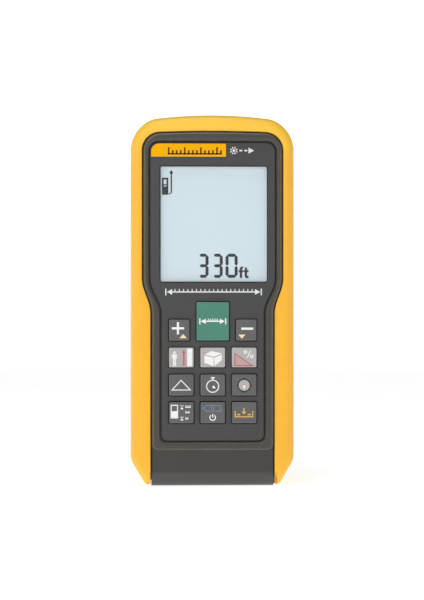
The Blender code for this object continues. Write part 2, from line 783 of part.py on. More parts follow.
def build_optics():
    """Moulded chassis with the receiver cone and the laser bore, its lenses, and the covers in the nose."""
    bm = bmesh.new()
    rings = []
    for height, inset in ((92.0, 0.6), (92.6, 0.0), (118.8, 0.0), (119.4, 0.6)):
        outline = rounded_rectangle(0, 3.1, 30.4 - 2 * inset, 19.6 - 2 * inset, 2.0)
        rings.append([(x, y, height) for x, y in outline])
    add_loft(bm, rings)
    chassis = make("optics_chassis", bm)
    bores = bmesh.new()
    cone = [(2.9, 90), (2.9, 96), (7.0, 114.5), (8.4, 114.5), (8.4, 123)]
    add_turned(bores, cone, (RECEIVER_X, OPTIC_Y), "Z", 24)
    add_turned(bores, [(3.4, 90), (3.4, 123)], (LASER_X, OPTIC_Y), "Z", 20)
    cut(chassis, bores)
    finish(chassis, CHIP_BLACK)

    lens = bmesh.new()
    profile = [(7.2, 115.4), (8.05, 116.0), (8.05, 117.4), (7.0, 118.2), (5.0, 119.0), (2.8, 119.5)]
    profile.append((0.8, 119.7))
    add_turned(lens, profile, (RECEIVER_X, OPTIC_Y), "Z", 24)
    finish(make("receiver_lens", lens), GLASS)

    emitter = bmesh.new()
    profile = [(2.4, 93.0), (2.4, 96.0), (3.05, 96.0), (3.05, 108.0), (2.7, 108.6), (3.05, 109.2)]
    profile.append((3.05, 111.5))
    add_turned(emitter, profile, (LASER_X, OPTIC_Y), "Z", 18)
    finish(make("laser_module", emitter), BRASS)

    collimator = bmesh.new()
    profile = [(2.6, 112.2), (3.05, 112.5), (3.05, 113.3), (2.2, 114.0), (1.2, 114.4), (0.4, 114.5)]
    add_turned(collimator, profile, (LASER_X, OPTIC_Y), "Z", 18)
    finish(make("collimator_lens", collimator), GLASS)

    small_board = bmesh.new()
    outline = rounded_rectangle(0, 3.1, 30.0, 17.0, 1.0, 1)
    add_loft(small_board, [[(x, y, height) for x, y in outline] for height in (90.65, 91.65)])
    finish(make("detector_board", small_board), BOARD_GREEN)

    can = bmesh.new()
    profile = [(2.55, 92.0), (2.55, 92.4), (2.1, 92.5), (2.1, 94.6), (1.3, 94.9)]
    add_turned(can, profile, (RECEIVER_X, OPTIC_Y), "Z", 18)
    finish(make("photodiode", can), STEEL)

    plate = make("lens_plate", nose_solid([(LENS_SEAT + GAP, GAP), (125.5, GAP), (125.9, GAP + 0.4)]))
    sights = bmesh.new()
    for x, radius in ((RECEIVER_X, RECEIVER_RADIUS), (LASER_X, LASER_RADIUS)):
        profile = [(radius, 120), (radius, 125.3), (radius + 0.9, 126.2), (radius + 0.9, 130)]
        add_turned(sights, profile, (x, OPTIC_Y), "Z", 24)
    cut(plate, sights)
    finish(plate, BLACK_RUBBER)

    sights = (("receiver_window", RECEIVER_X, RECEIVER_RADIUS), ("laser_window", LASER_X, LASER_RADIUS))
    for name, x, radius in sights:
        disc = bmesh.new()
        profile = [(radius - GAP, LENS_SEAT + GAP), (radius - GAP, 125.1), (radius - GAP - 0.15, 125.25)]
        add_turned(disc, profile, (x, OPTIC_Y), "Z", 24)
        finish(make(name, disc), GLASS)


# ---- power ------------------------------------------------------------------

def door_outline(clearance):
    """Outline of the battery door, or of its recess with no clearance."""
    width = 2 * (DOOR_HALF - clearance)
    height = DOOR_HIGH - DOOR_LOW - 2 * clearance
    return rounded_rectangle(0, (DOOR_LOW + DOOR_HIGH) / 2, width, height, 2.0 - clearance)


def build_spring(name, x, base, tip):
    """Conical contact spring along Z, wide at its base."""
    turns = 4
    per_turn = 10
    curve = bpy.data.curves.new(name, "CURVE")
    curve.dimensions = "3D"
    curve.bevel_depth = 0.3 * MM
    curve.bevel_resolution = 0
    curve.use_fill_caps = True
    spline = curve.splines.new("POLY")
    count = turns * per_turn + 1
    spline.points.add(count - 1)
    for step in range(count):
        share = step / (count - 1)
        angle = 2 * math.pi * step / per_turn
        radius = 4.2 - 2.0 * share
        height = base + (tip - base) * share
        place = Vector((x + radius * math.cos(angle), CELL_Y + radius * math.sin(angle), height)) * MM
        spline.points[step].co = (*place, 1.0)
    item = bpy.data.objects.new(name, curve)
    bpy.context.scene.collection.objects.link(item)
    dress(item, STEEL)


def build_cell(name, x, flipped):
    """A penlight cell: can, crimped shoulder and contact button."""
    profile = [
        (4.4, 0.0),
        (4.9, 0.15),
        (CELL_RADIUS, 0.6),
        (CELL_RADIUS, 42.2),
        (4.7, 42.9),
        (4.3, 43.3),
        (1.9, 43.3),
        (1.9, 44.3),
        (1.6, CELL_LENGTH),
    ]
    if flipped:
        profile = [(radius, CELL_LENGTH - height) for radius, height in reversed(profile)]
    bm = bmesh.new()
    add_turned(bm, [(radius, CELL_LOW + height) for radius, height in profile], (x, CELL_Y), "Z", 20)
    finish(make(name, bm), CELL_SKIN)


def build_power():
    """Two cells, their contacts, the bay's seal and its door."""
    build_cell("battery_left", -CELL_X, False)
    build_cell("battery_right", CELL_X, True)
    build_spring("battery_spring_left", -CELL_X, BAY_LOW + 0.7, CELL_LOW - 0.6)
    build_spring("battery_spring_right", CELL_X, BAY_HIGH - 0.7, CELL_LOW + CELL_LENGTH + 0.6)
    plate = bmesh.new()
    add_block(plate, (1.0, 4.0, BAY_LOW + 0.3), (10.4, 13.6, BAY_LOW + 0.8))
    contact = make("contact_plate", plate)
    dimple = bmesh.new()
    profile = [(2.4, BAY_LOW + 0.55), (2.4, CELL_LOW - 1.0), (1.6, CELL_LOW - GAP)]
    add_turned(dimple, profile, (CELL_X, CELL_Y), "Z", 14)
    unite(contact, dimple)
    finish(contact, STEEL)
    small_plate = bmesh.new()
    add_block(small_plate, (-10.4, 4.0, BAY_HIGH - 0.8), (-1.0, 13.6, BAY_HIGH - 0.3))
    upper = make("contact_plate_upper", small_plate)
    dimple = bmesh.new()
    top = CELL_LOW + CELL_LENGTH
    profile = [(1.6, top + GAP), (2.4, top + 0.8), (2.4, BAY_HIGH - 0.55)]
    add_turned(dimple, profile, (-CELL_X, CELL_Y), "Z", 14)
    unite(upper, dimple)
    finish(upper, STEEL)

    ring = bmesh.new()
    outer_height = DOOR_HIGH - DOOR_LOW - 0.8
    inner_height = BAY_HIGH - BAY_LOW + 0.6
    outer = rounded_rectangle(0, (DOOR_LOW + DOOR_HIGH) / 2, 2 * (DOOR_HALF - 0.4), outer_height, 1.6)
    inner = rounded_rectangle(0, (BAY_LOW + BAY_HIGH) / 2, 2 * (BAY_HALF + 0.3), inner_height, 0.8)
    low, high = DOOR_LEDGE + 0.25, DOOR_LEDGE + 0.6
    add_outline_loft(ring, [(outer, low), (outer, high)])
    seal = make("battery_door_seal", ring)
    middle = bmesh.new()
    add_outline_loft(middle, [(inner, low - 1), (inner, high + 1)])
    cut(seal, middle)
    finish(seal, BLACK_RUBBER)

    bm = bmesh.new()
    levels = ((DOOR_LEDGE + 0.85, GAP), (BACK - 0.45, GAP), (BACK - 0.15, GAP + 0.35))
    add_outline_loft(bm, [(door_outline(gap), depth) for depth, gap in levels])
    door = make("battery_door", bm)
    grip = bmesh.new()
    for number in range(4):
        z = DOOR_HIGH - 7.0 - 1.8 * number
        outline = rounded_rectangle(0, z, 14.0 - 2.2 * number, 0.8, 0.35, 1)
        add_outline_loft(grip, [(outline, BACK - 0.65), (outline, BACK + 1)])
    cut(door, grip)
    finish(door, CHARCOAL_PLASTIC)
    move_origin(door, (0, BACK, (DOOR_LOW + DOOR_HIGH) / 2))


# ---- rear end and back ------------------------------------------------------

def build_bracket():
    """Fold-out end bracket on its pin: knuckle, tongue with a slot, and a lip for the fingernail."""
    tongue = bmesh.new()
    near, far = HINGE_Y - 0.2, HINGE_Y + KNUCKLE_RADIUS
    outline = [
        (-BRACKET_HALF, HINGE_Z),
        (BRACKET_HALF, HINGE_Z),
        *corner_arc((BRACKET_HALF, HINGE_Z), (BRACKET_HALF, BRACKET_HIGH), (0, BRACKET_HIGH), 3.0, 3),
        *corner_arc((0, BRACKET_HIGH), (-BRACKET_HALF, BRACKET_HIGH), (-BRACKET_HALF, HINGE_Z), 3.0, 3),
    ]
    add_outline_loft(tongue, [(outline, near), (outline, far)])
    bracket = make("positioning_bracket", tongue)
    knuckle = bmesh.new()
    half = BRACKET_HALF + 0.01
    profile = [(KNUCKLE_RADIUS + 0.02, -half), (KNUCKLE_RADIUS + 0.02, half)]
    add_turned(knuckle, profile, (HINGE_Y, HINGE_Z), "X", 24)
    unite(bracket, knuckle)
    openings = bmesh.new()
    add_turned(openings, [(PIN_RADIUS + GAP, -30), (PIN_RADIUS + GAP, 30)], (HINGE_Y, HINGE_Z), "X", 16)
    cut(bracket, openings)
    slot = bmesh.new()
    outline = rounded_rectangle(0, 19.0, 10.0, 7.0, 1.5)
    add_outline_loft(slot, [(outline, near - 2), (outline, far + 2)])
    cut(bracket, slot)
    lip = bmesh.new()
    outline = rounded_rectangle(0, BRACKET_HIGH, 9.0, 3.0, 1.2)
    add_outline_loft(lip, [(outline, near - 2), (outline, near + 1.4)])
    cut(bracket, lip)
    finish(bracket, CHARCOAL_PLASTIC)
    move_origin(bracket, (0, HINGE_Y, HINGE_Z))

    pin = bmesh.new()
    left = -BRACKET_HALF - GAP - 1.3
    right = BRACKET_HALF + BRACKET_SHIFT + GAP + 1.3
    profile = [(0.9, left), (PIN_RADIUS, left + 0.3), (PIN_RADIUS, right - 0.3), (0.9, right)]
    add_turned(pin, profile, (HINGE_Y, HINGE_Z), "X", 16)
    finish(make("bracket_pin", pin), STEEL)
    move_origin(bpy.data.objects["bracket_pin"], (0, HINGE_Y, HINGE_Z))


def build_fasteners():
    """Tripod bush and the four case screws."""
    bush = bmesh.new()
    profile = [
        (THREAD_RADIUS, BUSH_HIGH - 1.2),
        (THREAD_RADIUS, 0.75),
        (THREAD_RADIUS + 0.45, 0.3),
        (BUSH_RADIUS - 0.2, 0.3),
        (BUSH_RADIUS, 0.5),
        (BUSH_RADIUS, 3.6),
        (BUSH_RADIUS - 0.5, 4.0),
        (BUSH_RADIUS - 0.5, 5.2),
        (BUSH_RADIUS, 5.6),
        (BUSH_RADIUS, BUSH_HIGH),
    ]
    add_turned(bush, profile, (0, 0), "Z", 24)
    finish(make("tripod_insert", bush), BRASS)

    for name, (x, z) in SCREWS.items():
        screw = bmesh.new()
        profile = [
            (0.6, -11.6),
            (1.0, -11.0),
            (1.0, SCREW_HEAD_Y),
            (1.8, SCREW_HEAD_Y),
            (1.8, SCREW_HEAD_Y + 1.2),
            (1.4, SCREW_HEAD_Y + 1.6),
            (0.7, SCREW_HEAD_Y + 1.6),
            (0.7, SCREW_HEAD_Y + 0.7),
        ]
        add_turned(screw, profile, (x, z), "Y", 12)
        finish(make(name, screw), STEEL)


def build_label():
    """Blank rating label in its shallow recess on the back."""
    bm = bmesh.new()
    outline = rounded_rectangle(0, LABEL_Z, LABEL_WIDTH, LABEL_HEIGHT, 1.2)
    add_outline_loft(bm, [(outline, BACK - 0.4), (outline, BACK - 0.1)])
    finish(make("rating_label", bm), LABEL_GREY)


for leftover in list(bpy.data.objects):
    bpy.data.objects.remove(leftover)
build_case()
build_grip_covers()
build_faceplate()
build_keypad()
build_keys()
build_display()
build_electronics()
build_optics()
build_power()
build_bracket()
build_fasteners()
build_label()
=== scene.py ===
import math

import bpy
import numpy as np
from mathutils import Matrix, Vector


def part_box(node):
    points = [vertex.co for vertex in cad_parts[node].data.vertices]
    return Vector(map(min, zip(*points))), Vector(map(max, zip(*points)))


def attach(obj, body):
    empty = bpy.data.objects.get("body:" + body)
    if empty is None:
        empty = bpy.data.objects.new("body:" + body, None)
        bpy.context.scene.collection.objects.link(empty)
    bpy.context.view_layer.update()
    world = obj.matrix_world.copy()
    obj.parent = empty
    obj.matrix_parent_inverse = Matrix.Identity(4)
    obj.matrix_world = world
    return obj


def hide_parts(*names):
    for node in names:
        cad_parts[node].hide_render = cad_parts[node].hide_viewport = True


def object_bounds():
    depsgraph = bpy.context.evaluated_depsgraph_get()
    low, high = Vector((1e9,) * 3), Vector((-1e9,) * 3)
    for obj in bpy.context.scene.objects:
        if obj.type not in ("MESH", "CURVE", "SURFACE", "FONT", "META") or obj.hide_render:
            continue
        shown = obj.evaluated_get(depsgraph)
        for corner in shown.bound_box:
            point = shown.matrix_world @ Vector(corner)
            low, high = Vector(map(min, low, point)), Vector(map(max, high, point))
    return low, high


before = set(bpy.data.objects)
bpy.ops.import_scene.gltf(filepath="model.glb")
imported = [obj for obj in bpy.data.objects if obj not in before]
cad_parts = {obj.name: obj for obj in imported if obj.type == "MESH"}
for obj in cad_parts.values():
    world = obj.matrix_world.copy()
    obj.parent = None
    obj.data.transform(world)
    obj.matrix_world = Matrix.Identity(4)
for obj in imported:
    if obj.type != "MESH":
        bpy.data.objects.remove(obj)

MM = 0.001
cad_low, cad_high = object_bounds()


# ==== The view ====
# The meter is seen square on from its display side with a long lens, from a hair
# to the left of its middle.

LENS_MM = 100
SENSOR_MM = 36
VIEW_HEIGHT = 0.2053
VIEW_TURN = math.radians(-1.8)
VIEW_SHIFT = Vector((0.00024, 0, 0.00015))
FOCUS_SHARE = 0.8


def add(name, data):
    """New object in the scene, at the origin."""
    thing = bpy.data.objects.new(name, data)
    bpy.context.scene.collection.objects.link(thing)
    return thing


middle = (cad_low + cad_high) / 2
camera_data = bpy.data.cameras.new("camera")
camera_data.lens = LENS_MM
camera_data.sensor_width = SENSOR_MM
camera_data.clip_start = 0.01
camera = add("camera", camera_data)
distance = VIEW_HEIGHT * LENS_MM / SENSOR_MM - FOCUS_SHARE * cad_low.y
camera.location = middle + distance * Vector((math.sin(VIEW_TURN), -math.cos(VIEW_TURN), 0))
camera.location += VIEW_SHIFT
camera.rotation_euler = (math.radians(90), 0, VIEW_TURN)
bpy.context.scene.camera = camera
bpy.context.scene.view_settings.view_transform = "Standard"


# ==== Grip covers ====
# Two covers of soft yellow elastomer, one moulded round each half of the case: a band
# down each long side and over the lens end, folded in to the dark case. The skin is
# matt, with a fine spark texture that wears smooth and pale along the edges; that pale
# edge tone is also a painted highlight. Towards the lens end the yellow is painted
# paler, as painted light from above.

GRIP_YELLOW = (252, 182, 36)
# Paler edge tone: wear, and a painted highlight where the edges catch light.
GRIP_WEAR_AND_HIGHLIGHT = (255, 200, 80)
# Painted light: a paler yellow blended in towards the lens end, between the heights below, as if
# lit from above.
GRIP_PAINTED_TOP_LIGHT = (255, 206, 66)
GRIP_GRAIN = 0.16
TOP_LIGHT_HEIGHTS = (109, 124)
CLOUD_SIZE = 11
PATCH_SIZE = 2.5
SHARP_EDGE = math.radians(38)


def reach(node):
    """Lowest and highest corners of a frame node in millimetres."""
    return [np.array(corner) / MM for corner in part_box(node)]


cover_low, cover_high = reach("front_overmould")
seal_low, seal_high = reach("housing_seal")
HALF_WIDTH = cover_high[0]
BODY_TOP = cover_high[2]
GRIP_FRONT = cover_low[1]
GRIP_BACK = reach("rear_overmould")[1][1]
PARTING = (seal_low[1] + seal_high[1]) / 2
PARTING_GAP = 0.15
TOP_CROWN = 2.5
TOP_CORNER = 9.3
FOOT_KNEE = 8.8
FOOT_LEAN = math.radians(31)
FOOT_LOW = 0.3
FOOT_TIP = 0.8
END_RADIUS = 5
END_FRONT = -15.2
BACK = cad_high.y / MM
SHOULDER = 13.4
WAIST = (59.4, 70.8)
OPENING = dict(upper=24.1, lower=21.2, top=121.4, corner=6, crown=0.6)
FRONT_OPENING = dict(OPENING, top=120.7)
LIP = 0.35
SIDE_ROUND = (3, 4.5)
PARTING_ROUND = 0.3
WALL = 1.7
SIDE_STEPS = 96
CORNER_STEPS = 20
TOP_STEPS = 16


def end_rise(depth):
    """Height of the rounded rear end at a depth: a quarter circle at the front and at the back."""
    into = np.maximum(END_FRONT + END_RADIUS - depth, depth - (BACK - END_RADIUS))
    into = np.clip(into, 0, END_RADIUS)
    return END_RADIUS - np.sqrt(END_RADIUS ** 2 - into ** 2)


def soft_step(t):
    """0 below 0, 1 above 1, and the cubic 3t^2 - 2t^3 between."""
    t = np.clip(t, 0, 1)
    return t * t * (3 - 2 * t)


def over_the_top(side, top, corner, crown, side_x, side_z):
    """Side points, a quarter circle, then half the top, all mirrored. The crown lifts the top by
    a parabola that fades in round the corner."""
    turn = np.linspace(0, np.pi / 2, CORNER_STEPS)[1:]
    top_x = (side - corner) * np.linspace(1, 0, TOP_STEPS)[1:]
    x = np.concatenate([side_x, side - corner + corner * np.cos(turn), top_x])
    top_z = np.full(TOP_STEPS - 1, top)
    z = np.concatenate([side_z, top - corner + corner * np.sin(turn), top_z])
    z = z + soft_step((z - (top - corner)) / corner) * crown * (1 - (x / side) ** 2)
    half = np.stack([x, z], axis=1)
    return np.concatenate([half, half[-2::-1] * (-1, 1)])


def waist(shape, z):
    """Half-width at a height, eased from the lower to the upper value by the soft step."""
    rise = soft_step((z - WAIST[0]) / (WAIST[1] - WAIST[0]))
    return shape["lower"] + (shape["upper"] - shape["lower"]) * rise


def body_line(inset, low):
    """Outer outline from a height upwards. The foot is a straight cut: the side less the lean's
    tangent times the height below the knee, eased at the knee by a smooth minimum and at the
    tip by a small radius. It never comes closer to the middle than the opening."""
    side = HALF_WIDTH - inset
    top = BODY_TOP - TOP_CROWN - inset
    corner = max(TOP_CORNER - inset, 1)
    z = low + (top - corner - low) * np.linspace(0, 1, SIDE_STEPS) ** 1.6
    knee = FOOT_KNEE + inset * math.tan(FOOT_LEAN / 2)
    cut = side - (knee - z) * math.tan(FOOT_LEAN)
    x = side - np.logaddexp(0, (side - cut) / 0.35) * 0.35
    tip = np.clip(1 - (z - low) / FOOT_TIP, 0, 1)
    x = np.maximum(x - FOOT_TIP * (1 - np.sqrt(1 - tip ** 2)), waist(OPENING, z) + 0.02)
    return over_the_top(side, top, corner, TOP_CROWN, x, z)


def waisted_line(shape, inset, low):
    """Waisted outline from a height upwards, open at its foot."""
    top = shape["top"] - inset
    corner = max(shape["corner"] - inset, 0.4)
    z = low + (top - corner - low) * np.linspace(0, 1, SIDE_STEPS) ** 1.15
    side = shape["upper"] - inset
    return over_the_top(side, top, corner, shape["crown"], waist(shape, z) - inset, z)


def smooth(mesh, sharp=SHARP_EDGE):
    """Shade a mesh smooth, except along edges sharper than an angle."""
    mesh.shade_smooth()
    mesh.set_sharp_from_angle(angle=sharp)


def skin(name, grid, ends=True, wear=None):
    """Mesh over a grid of points in millimetres: rows run along the piece, and columns run round
    it and close on themselves. With ends, the first and last rows are closed by one face each.
    Wear and painted highlight are kept at the points, 0 to 1, for the finish to read. Faces
    that enclose a negative volume, summed about the middle, are turned round."""
    rows, columns = grid.shape[:2]
    index = np.arange(rows * columns).reshape(rows, columns)
    across = np.roll(index, -1, axis=1)
    quads = np.stack([index[:-1], across[:-1], across[1:], index[1:]], axis=-1).reshape(-1, 4)
    points = grid.reshape(-1, 3) * MM
    a, b, c, d = np.moveaxis((points - points.mean(axis=0))[quads], 1, 0)
    volume = (a * (np.cross(b, c) + np.cross(c, d))).sum()
    faces = quads.tolist()
    if ends:
        faces += [index[0][::-1].tolist(), index[-1].tolist()]
    mesh = bpy.data.meshes.new(name)
    mesh.from_pydata(points, [], faces)
    if volume < 0:
        mesh.flip_normals()
    smooth(mesh)
    if wear is not None:
        spots = np.broadcast_to(wear, (rows, columns)).astype(np.float32).ravel()
        mesh.attributes.new("wear", "FLOAT", "POINT").data.foreach_set("value", spots)
    return add(name, mesh)


def settle(piece, sharp=SHARP_EDGE):
    """Fix a piece's modifiers into its mesh and shade it smooth."""
    evaluated = piece.evaluated_get(bpy.context.evaluated_depsgraph_get())
    made = bpy.data.meshes.new_from_object(evaluated)
    piece.modifiers.clear()
    piece.data = made
    smooth(made, sharp)


def boolean(piece, *tools, operation="DIFFERENCE"):
    """Cut or join with tool objects, which are used up."""
    for tool in tools:
        step = piece.modifiers.new("cut", "BOOLEAN")
        step.operation = operation
        step.solver = "EXACT"
        step.object = tool
    settle(piece)
    for tool in tools:
        bpy.data.objects.remove(tool)


def linear(colour):
    """Scene-linear colour from sRGB values of 0 to 255."""
    share = np.array(colour) / 255
    return (*np.where(share > 0.04045, ((share + 0.055) / 1.055) ** 2.4, share / 12.92), 1)


def tinted(colour, factor):
    """An sRGB colour made lighter or darker."""
    return tuple(min(255, channel * factor) for channel in colour)


class Finish:
    """One surface finish: a Principled material and the nodes that its texture is made of."""

    def __init__(self, name, roughness, metallic=0, ior=1.5):
        self.material = bpy.data.materials.new(name)
        self.material.use_nodes = True
        self.nodes = self.material.node_tree.nodes
        self.links = self.material.node_tree.links
        self.shader = self.nodes["Principled BSDF"]
        self.fix({"Roughness": roughness, "Metallic": metallic, "IOR": ior})

    def fix(self, values):
        """Constants on the shader's own sockets."""
        for socket, value in values.items():
            self.shader.inputs[socket].default_value = value

    def drive(self, socket, value):
        """Link a value into one of the shader's sockets."""
        self.links.new(value, self.shader.inputs[socket])

    def node(self, kind, inputs, **settings):
        """New node; each input is a constant or another node's output."""
        made = self.nodes.new("ShaderNode" + kind)
        for setting, value in settings.items():
            setattr(made, setting, value)
        for socket, value in inputs.items():
            if isinstance(value, bpy.types.NodeSocket):
                self.links.new(value, made.inputs[socket])
            else:
                made.inputs[socket].default_value = value
        return made

    def place(self):
        """Object coordinates in metres."""
        return self.node("TexCoord", {}).outputs["Object"]

    def height(self):
        """Height above the rear end in metres."""
        return self.node("SeparateXYZ", {"Vector": self.place()}).outputs["Z"]

    def noise(self, size, detail=2, stretch=(1, 1, 1)):
        """Noise of this size in millimetres, squeezed along the axes where asked."""
        mapping = self.node("Mapping", {"Vector": self.place(), "Scale": stretch})
        inputs = {"Vector": mapping.outputs["Vector"], "Scale": 1 / (size * MM), "Detail": detail}
        return self.node("TexNoise", inputs).outputs["Fac"]

    def spread(self, value, low, high, start=0.3, end=0.7):
        """The value between start and end, spread to run from low to high."""
        limits = {"From Min": start, "From Max": end, "To Min": low, "To Max": high}
        return self.node("MapRange", {"Value": value, **limits}).outputs["Result"]

    def mix(self, share, first, second):
        """Colour mix, whose colours are sockets 6 and 7; each is an sRGB triple or an output."""
        first, second = [linear(c) if isinstance(c, tuple) else c for c in (first, second)]
        inputs = {"Factor": share, 6: first, 7: second}
        return self.node("Mix", inputs, data_type="RGBA").outputs[2]

    def paint(self, share, first, second):
        """Base colour mixed from two."""
        self.drive("Base Color", self.mix(share, first, second))

    def paint_by_height(self, colour, low, high, start, end):
        """Blend a colour over the base: its share goes from low to high between two heights."""
        share = self.spread(self.height(), low, high, start * MM, end * MM)
        self.paint(share, self.shader.inputs["Base Color"].links[0].from_socket, colour)

    def bump(self, height, depth):
        """Bump of this depth in millimetres."""
        node = self.node("Bump", {"Height": height, "Distance": depth * MM})
        self.drive("Normal", node.outputs["Normal"])


def moulded(name, colour, roughness, grain, depth, wear_and_highlight_colour=None, cloud=0.03):
    """Moulded plastic or rubber: clouded colour, spark-texture bump, roughness that follows the
    grain, and a paler, patchy tone where the points are marked, for wear and painted highlight."""
    finish = Finish(name, roughness)
    fine = finish.noise(grain)
    clouds = finish.spread(finish.noise(CLOUD_SIZE, 3), 0, 1)
    body = finish.mix(clouds, tinted(colour, 1 - cloud), tinted(colour, 1 + cloud))
    # The paler tone on marked points is wear and a painted highlight on the edges.
    if wear_and_highlight_colour:
        wear_and_highlight_share = finish.node("Attribute", {}, attribute_name="wear").outputs["Fac"]
        patches = finish.spread(finish.noise(PATCH_SIZE, 3), 0.6, 1)
        patchy = finish.node("Math", {0: wear_and_highlight_share, 1: patches}, operation="MULTIPLY")
        body = finish.mix(patchy.outputs["Value"], body, wear_and_highlight_colour)
    finish.paint(finish.spread(fine, 0, 0.16, 0.4, 0.7), body, tinted(colour, 1.25))
    finish.drive("Roughness", finish.spread(fine, roughness - 0.07, roughness + 0.07))
    finish.bump(fine, depth)
    return finish


def dress(piece, finish, body, slot, *replaced):
    """Give a piece its material and body, and let it stand for frame nodes; the slot is not used.
    """
    piece.data.materials.clear()
    piece.data.materials.append(finish.material)
    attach(piece, body)
    if replaced:
        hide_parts(*replaced)


def at_depth(outline, depth):
    """Points of an (x, z) outline at a depth."""
    return np.insert(outline, 1, depth, axis=1)


def quarter_round(across, deep, steps):
    """(inset, depth) steps of an edge, a quarter ellipse: across(1 - cos t), deep(1 - sin t)."""
    turn = np.linspace(0, np.pi / 2, steps)
    return list(zip(across * (1 - np.cos(turn)), deep * (1 - np.sin(turn))))


def cover(name, face, part_face, shape):
    """A cover as closed rings of its section carried from one foot over the lens end to the
    other. The section leaves the opening's edge, rounds over to the side by a quarter ellipse,
    runs to the parting face, turns in, and returns over the case's shoulder to the opening."""
    inward = -math.copysign(1, face)
    shoulder = -inward * (SHOULDER + 0.3)
    lines = []

    def opening(inset, depth):
        line = waisted_line(shape, inset, FOOT_LOW + end_rise(depth))
        lines.append(at_depth(line, depth))

    def body(inset, depth):
        lines.append(at_depth(body_line(inset, FOOT_LOW + end_rise(depth)), depth))

    for inset, depth in quarter_round(LIP, LIP, 6):
        opening(-inset, face + inward * depth)
    for inset, depth in quarter_round(*SIDE_ROUND, 16)[::-1]:
        body(inset, face + inward * depth)
    edge = part_face - inward * PARTING_ROUND
    for depth in np.linspace(face + inward * SIDE_ROUND[1], edge, 9)[1:-1]:
        body(0, depth)
    for inset, depth in quarter_round(PARTING_ROUND, PARTING_ROUND, 5):
        body(inset, part_face - inward * depth)
    body(WALL, part_face)
    for inset, depth in quarter_round(1.2, 1.4, 6):
        body(WALL + inset, shoulder + inward * depth)
    opening(0, shoulder)
    # Paler tone along the opening's lip and over the side's rounding: wear and painted highlight.
    lip = np.sin(np.linspace(0.4, np.pi, 6))
    round_over = 0.3 * np.sin(np.linspace(0, np.pi, 16)) ** 2
    wear = np.concatenate([lip, round_over, np.zeros(7), lip[:5], np.zeros(8)])
    return skin(name, np.stack(lines, axis=1), wear=wear)


yellow = moulded("grip_elastomer", GRIP_YELLOW, 0.5, GRIP_GRAIN, 0.016, GRIP_WEAR_AND_HIGHLIGHT, 0.012)
yellow.fix({"Sheen Weight": 0.06, "Sheen Roughness": 0.4, "Subsurface Weight": 0.05,
            "Subsurface Scale": 0.0008, "Subsurface Radius": (1, 0.5, 0.15)})
# Painted light from above: the grip turns paler towards the lens end.
yellow.paint_by_height(GRIP_PAINTED_TOP_LIGHT, 0, 0.8, *TOP_LIGHT_HEIGHTS)
front_cover = cover("front_grip_cover", GRIP_FRONT, PARTING - PARTING_GAP, FRONT_OPENING)
dress(front_cover, yellow, "root", "yellow_elastomer", "front_overmould")


def arc(x, z, radius, turn):
    """Points on a circle about (x, z) at these angles."""
    return np.stack([x + radius * np.cos(turn), z + radius * np.sin(turn)], axis=-1)


def round_box(x, z, width, height, radius, steps=8):
    """Outline of a rectangle with round corners about a centre: four quarter circles in turn."""
    quarter = arc(0, 0, radius, np.linspace(0, np.pi / 2, steps))
    spin = np.array([[0, -1], [1, 0]])
    parts = [quarter @ np.linalg.matrix_power(spin, number).T for number in range(4)]
    signs = np.array([(1, 1), (-1, 1), (-1, -1), (1, -1)])
    centres = signs * (width / 2 - radius, height / 2 - radius) + (x, z)
    return np.concatenate([part + centre for part, centre in zip(parts, centres)])


nose_low, nose_high = reach("lens_plate")
NOSE_GAP = 0.3
NOSE_CORNER = 4


def nose_solid(name, levels):
    """The lens plate's outline, grown by each level's clearance, through the levels' heights."""
    centre = (nose_low + nose_high)[:2] / 2
    rings = []
    for height, grow in levels:
        size = (nose_high - nose_low)[:2] + 2 * grow
        outline = round_box(*centre, *size, NOSE_CORNER + grow, 12)
        rings.append(np.insert(outline, 2, height, axis=1))
    return skin(name, np.stack(rings))


rear_cover = cover("rear_grip_cover", GRIP_BACK, PARTING + PARTING_GAP, OPENING)
mouth = [(118, NOSE_GAP)]
for t in np.linspace(0, 1.45, 8):
    mouth.append((124.6 + 2.4 * math.sin(t), NOSE_GAP + 1.1 * (1 - math.cos(t))))
mouth.append((BODY_TOP + 0.5, mouth[-1][1]))
boolean(rear_cover, nose_solid("mouth", mouth))
dress(rear_cover, yellow, "root", "yellow_elastomer", "rear_overmould")


# ==== Front case ====
# Front half of the case, moulded in charcoal glass-filled plastic with a fine spark
# texture. Its core fills the covers' opening and rounds over into the plain rear
# end, and a raised rim with a rounded edge runs round the faceplate's recess.

CHARCOAL = (51, 50, 48)
# Painted reflection: the case turns paler below about 5 mm, standing in for the white floor
# mirrored in its rounded rear end.
FOOT_FLOOR_REFLECTION = (68, 67, 64)
FLOOR_REFLECTION_HEIGHTS = (4.2, 5.4)
RIM_BROWN = (60, 57, 51)
# Paler tone for the rim's edges: wear and painted highlight.
RIM_EDGE = (96, 91, 82)
CORE_GAP = 0.3
CORE_ROUND = 0.9
RIM = dict(FRONT_OPENING, bottom=11.9, low_corner=2.8)
RIM_GAP = CORE_GAP + 0.15
FACE = dict(upper=21.35, lower=17.5, top=117.35, corner=3, crown=0,
            bottom=15.65, low_corner=2)
RIM_FRONT = reach("front_housing")[0][1]
RECESS_FLOOR = -14.1
GROOVE = 0.35
CASE_END = PARTING - 0.35
INSERT_GAP = 0.3


def waisted_ring(shape, inset):
    """Closed waisted outline: the open one, with a quarter circle at each low corner."""
    corner = max(shape["low_corner"] - inset, 0.3)
    low_z = shape["bottom"] + inset + corner
    turn = np.linspace(-np.pi / 2, 0, 10)[:-1]
    low = arc(shape["lower"] - inset - corner, low_z, corner, turn)
    return np.concatenate([low, waisted_line(shape, inset, low_z), low[::-1] * (-1, 1)])


def lofted(name, sections, **options):
    """Solid along Y through (outline, depth) pairs."""
    return skin(name, np.stack([at_depth(*section) for section in sections]), **options)


def core_section(inset, depth):
    """The core's outline at a depth, with its foot on the rounded rear end."""
    return waisted_line(FRONT_OPENING, inset, end_rise(depth)), depth


